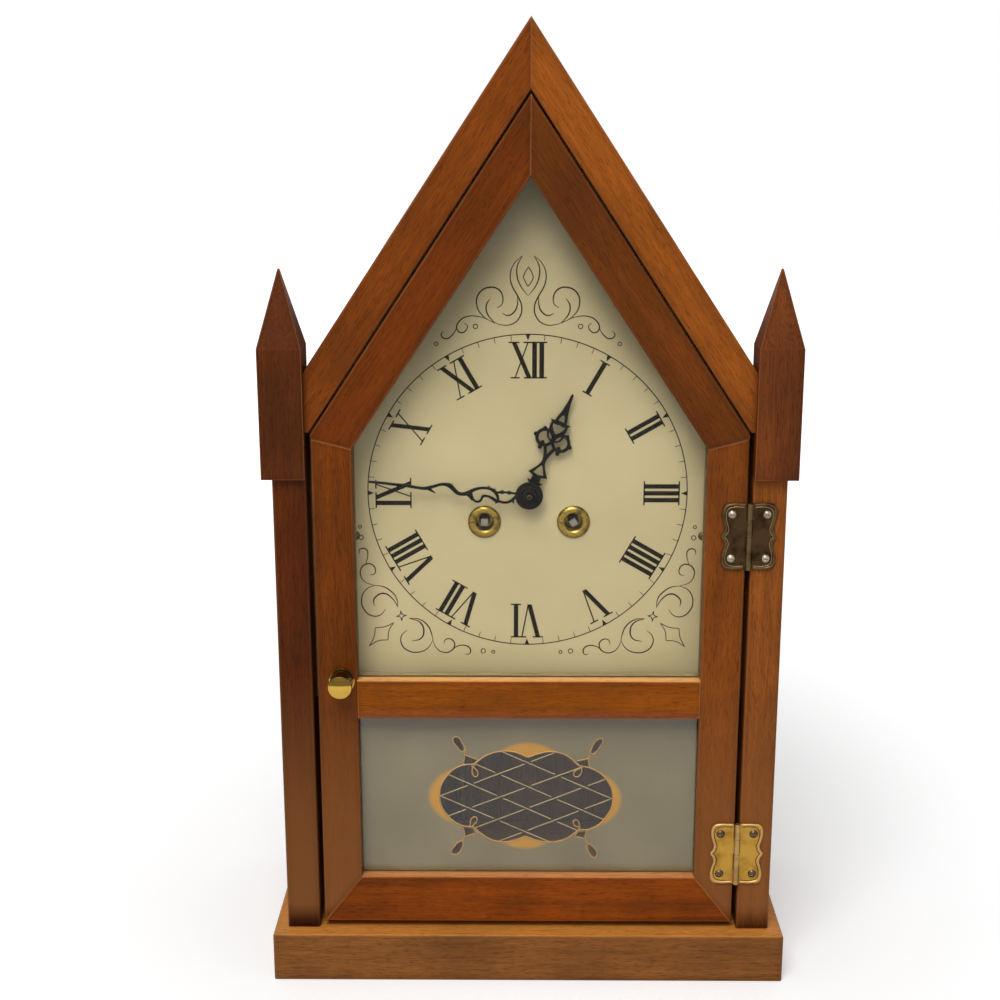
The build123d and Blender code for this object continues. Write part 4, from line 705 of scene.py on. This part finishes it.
# Strokes of each figure as (top, foot, width) and its advance to the next one's first stroke
figures = {"I": ([(0, 0, thick)], 0),
           "V": ([(0, 3.9 * mm, thick), (7.3 * mm, 4.4 * mm, thin)], 7.3 * mm),
           "X": ([(0, 6.7 * mm, thick), (6.1 * mm, 0.5 * mm, thin)], 6.7 * mm)}
figure_gap = {"II": 3.15 * mm, "VI": 2.7 * mm, "XI": 2.3 * mm, "IV": 2.9 * mm, "IX": 2.5 * mm}
hours = ["I", "II", "III", "IIII", "V", "VI", "VII", "VIII", "IX", "X", "XI", "XII"]
shape = bmesh.new()
for hour, numeral in enumerate(hours, start=1):
    starts, reach = [], 0
    for before, letter in zip([""] + list(numeral), numeral):
        reach += figure_gap.get(before + letter, 0)
        starts.append(reach)
        reach += figures[letter][1]
    turn = 2 * pi * hour / len(hours)
    for start, letter in zip(starts, numeral):
        for top, foot, width in figures[letter][0]:
            x_top, x_foot = start + top - reach / 2, start + foot - reach / 2
            slab(shape, turn, x_top, x_foot, width, numeral_foot, numeral_top, ink_height)
            serif = width / 2 + serif_past + (thick - width) / 4
            ends = [(x_top, numeral_top)] if letter == "V" else [(x_top, numeral_top), (x_foot, numeral_foot)]
            for x, z in ends:
                slab(shape, turn, x, x, 2 * serif, z - serif_height / 2, z + serif_height / 2, serif_rise)
finish_piece("dial_numerals", made_mesh("dial_numerals", shape), black_ink, "case")

# Minute track: one circle with a tick inwards at each minute and a small wedge at each hour, printed in
# the same ink as the figures.
track_radius = 71.4 * mm
track_line = 0.45 * mm
tick_length, tick_width = 2.6 * mm, 0.28 * mm
wedge_length, wedge_width, wedge_rise = 3.0 * mm, 2.3 * mm, 1.1 * ink_height
minutes = 60
shape = bmesh.new()
profile = [shape.verts.new((x, -y, 0)) for x, y in ((-track_line / 2, 0), (-track_line / 2, ink_height),
                                                    (track_line / 2, ink_height), (track_line / 2, 0))]
for a, b in zip(profile, profile[1:] + profile[:1]):
    shape.edges.new((a, b))
bmesh.ops.translate(shape, verts=shape.verts, vec=(track_radius, 0, 0))
bmesh.ops.spin(shape, geom=shape.verts[:] + shape.edges[:], cent=(0, 0, 0), axis=(0, 1, 0), angle=2 * pi,
               steps=4 * minutes, use_merge=True)
bmesh.ops.translate(shape, verts=shape.verts, vec=print_centre)
bmesh.ops.recalc_face_normals(shape, faces=shape.faces)
for minute in range(minutes):
    turn = 2 * pi * minute / minutes
    if minute % 5:
        slab(shape, turn, 0, 0, tick_width, track_radius - tick_length, track_radius, ink_height)
        continue
    outer = track_radius + track_line / 2
    wedge = [shape.verts.new(Matrix.Translation(print_centre) @ Matrix.Rotation(turn, 4, "Y") @ Vector(point))
             for point in ((-wedge_width / 2, 0, outer), (wedge_width / 2, 0, outer),
                           (0, 0, outer - wedge_length))]
    made = bmesh.ops.extrude_face_region(shape, geom=[shape.faces.new(wedge)])
    raised = [v for v in made["geom"] if isinstance(v, bmesh.types.BMVert)]
    bmesh.ops.translate(shape, verts=raised, vec=(0, -wedge_rise, 0))
bmesh.ops.recalc_face_normals(shape, faces=shape.faces)
finish_piece("minute_track", made_mesh("minute_track", shape), black_ink, "case")

# Printed scrolls: a traditional flourish above the circle and one in each lower corner, drawn with
# strokes that swell and thin like a pen's. Points are pixels of enlarged crops of the photograph.
crown_corner, crown_enlarged = (350, 240), 4.48
crown_pixels = [
    ([(825, 70), (862, 106), (879, 160), (868, 210), (845, 250), (826, 300), (835, 345), (868, 376),
      (915, 380), (965, 362)], 1.0),
    ([(825, 72), (846, 112), (848, 160), (832, 205), (800, 248)], 1.0),
    ([(948, 372), (1000, 340), (1028, 290), (1018, 238), (975, 212), (930, 222), (911, 258), (917, 290),
      (936, 303)], 1.1),
    ([(968, 262), (985, 292), (980, 330), (945, 372)], 1.1),
    ([(913, 328), (888, 338), (860, 322), (846, 290), (845, 255)], 1.1),
    ([(965, 362), (1010, 345), (1068, 342), (1104, 362), (1117, 394), (1098, 415), (1074, 402),
      (1070, 382), (1084, 373)], 1.0),
    ([(1117, 394), (1135, 424), (1165, 442), (1187, 425), (1175, 408)], 1.0),
]
crown_diamond_pixels = [(800, 120), (814, 145), (822, 165), (812, 188), (797, 208), (785, 186), (776, 165),
                        (785, 143)]
dot_pixels = [((1033, 387), 10), ((1208, 465), 8)]
corner_corner, corner_enlarged = (350, 540), 12.06
corner_pixels = [
    ([(115, 165), (112, 122), (155, 97), (203, 118), (216, 180), (190, 290)], 1.0),
    ([(245, 415), (290, 410), (308, 355), (265, 292), (190, 290), (135, 340), (128, 420), (178, 500),
      (300, 545)], 1.0),
    ([(300, 545), (200, 590), (142, 700), (168, 830), (270, 912), (365, 902), (430, 830)], 1.0),
    ([(300, 545), (400, 560), (500, 620), (562, 700), (577, 810)], 1.0),
    ([(577, 800), (500, 690), (400, 640), (320, 675), (285, 730), (297, 790)], 1.2),
    ([(715, 940), (830, 950), (940, 1030), (985, 1130), (1000, 1205)], 1.0),
    ([(715, 940), (845, 990), (890, 1080), (860, 1180), (750, 1215)], 1.2),
    ([(690, 1085), (625, 1145), (622, 1250), (700, 1330), (820, 1350), (940, 1300), (1000, 1205)], 1.0),
    ([(1000, 1205), (1035, 1290), (1130, 1352), (1225, 1330), (1263, 1260), (1235, 1203), (1180, 1187),
      (1140, 1212), (1135, 1250)], 1.0),
    ([(1225, 1330), (1290, 1280), (1370, 1265), (1435, 1290), (1455, 1335), (1430, 1375), (1385, 1365)], 1.0),
]
corner_closed_pixels = [
    [(612, 850), (634, 894), (682, 905), (636, 928), (626, 972), (606, 928), (560, 918), (604, 896)],
    [(530, 992), (425, 1042), (305, 1055), (290, 1165), (230, 1278), (335, 1215), (460, 1200), (468, 1095)],
]
corner_dots = [((1607, 1334), 26), ((1728, 1345), 18), ((121, -163), 18), ((135, -34), 26)]
scroll_half_width, scroll_flatness, closed_weight = 0.24 * mm, 0.16, 0.9
ring_steps = 6
strokes = []
for table, corner, enlarged in ((crown_pixels, crown_corner, crown_enlarged),
                                (corner_pixels, corner_corner, corner_enlarged)):
    strokes += [(from_crop(points, corner, enlarged, dial_face), weight, "pen") for points, weight in table]
for points in corner_closed_pixels:
    places = from_crop(points, corner_corner, corner_enlarged, dial_face)
    strokes.append((places, closed_weight, "pointed"))
for dots, corner, enlarged in ((dot_pixels, crown_corner, crown_enlarged),
                               (corner_dots, corner_corner, corner_enlarged)):
    for (x, y), radius in dots:
        ring = [(x + radius * cos(2 * pi * i / ring_steps), y + radius * sin(2 * pi * i / ring_steps))
                for i in range(ring_steps)]
        strokes.append((from_crop(ring, corner, enlarged, dial_face), closed_weight, "ring"))
diamond = from_crop(crown_diamond_pixels, crown_corner, crown_enlarged, dial_face)
for name, lines, mirror_x in (("dial_scrolls", strokes, print_shift),
                              ("dial_crown_diamond", [(diamond, closed_weight, "pointed")], None)):
    pen_strokes(name, lines, scroll_half_width, dial_face, scroll_flatness, "case", black_ink, mirror_x)

# Hands: stamped from thin steel and painted black. The hour hand is pushed on its pipe, and a round nut
# holds the minute hand.
dress(worn_metal("hand_black", (17, 13, 9), (9, 7, 4), 0.42, metallic=0.0, grime_and_shade=0.3),
      "minute_hand", "hour_hand", "hand_nut")

# Movement: brass plates and wheels on steel pillars and arbors, a steel hammer and gong rod, and a cast
# iron gong block. The arbors are browned where they show through the dial. The winding squares are
# painted dark along their sides as the shade in their holes, and lighter on their end faces where light
# falls.
wheels = ["centre_wheel", "second_wheel", "third_wheel", "escape_wheel", "hour_wheel", "minute_wheel",
          "strike_pin_wheel", "balance_wheel", "time_barrel", "strike_barrel"]
steels = ["movement_pillars", "pillar_nuts", "pallet_lever", "gong_hammer", "gong_rod"]
dress(worn_metal("plate_brass", (196, 166, 92), (158, 126, 62), 0.32), "movement_front_plate",
      "movement_back_plate")
browned_and_shaded_steel = (60, 54, 46), (34, 30, 26)
dress(worn_metal("wheel_brass", (206, 174, 96), (160, 128, 60), 0.26, split=("Y", dial_face, *browned_and_shaded_steel)),
      "cannon_pinion", *wheels)
# Painted light on the winding squares: dark sides for the shade in the holes, and a lighter end face where
# the light falls.
square_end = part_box("time_winding_arbor")[0].y
end_face_depth = 0.4 * mm
dress(worn_metal("winding_steel", *browned_and_shaded_steel, 0.4, grime_and_shade=0.0,
                 split=("Y", square_end + end_face_depth, (150, 142, 130), (108, 100, 90))),
      "time_winding_arbor", "strike_winding_arbor")
dress(worn_metal("movement_steel", (168, 168, 170), (120, 118, 114), 0.26), *steels)
dress(worn_metal("screw_steel", (160, 160, 164), (112, 110, 108), 0.3), "steel_wood_screws")
dress(worn_metal("gong_iron", (52, 52, 54), (40, 38, 36), 0.55, metallic=0.3), "gong_block")
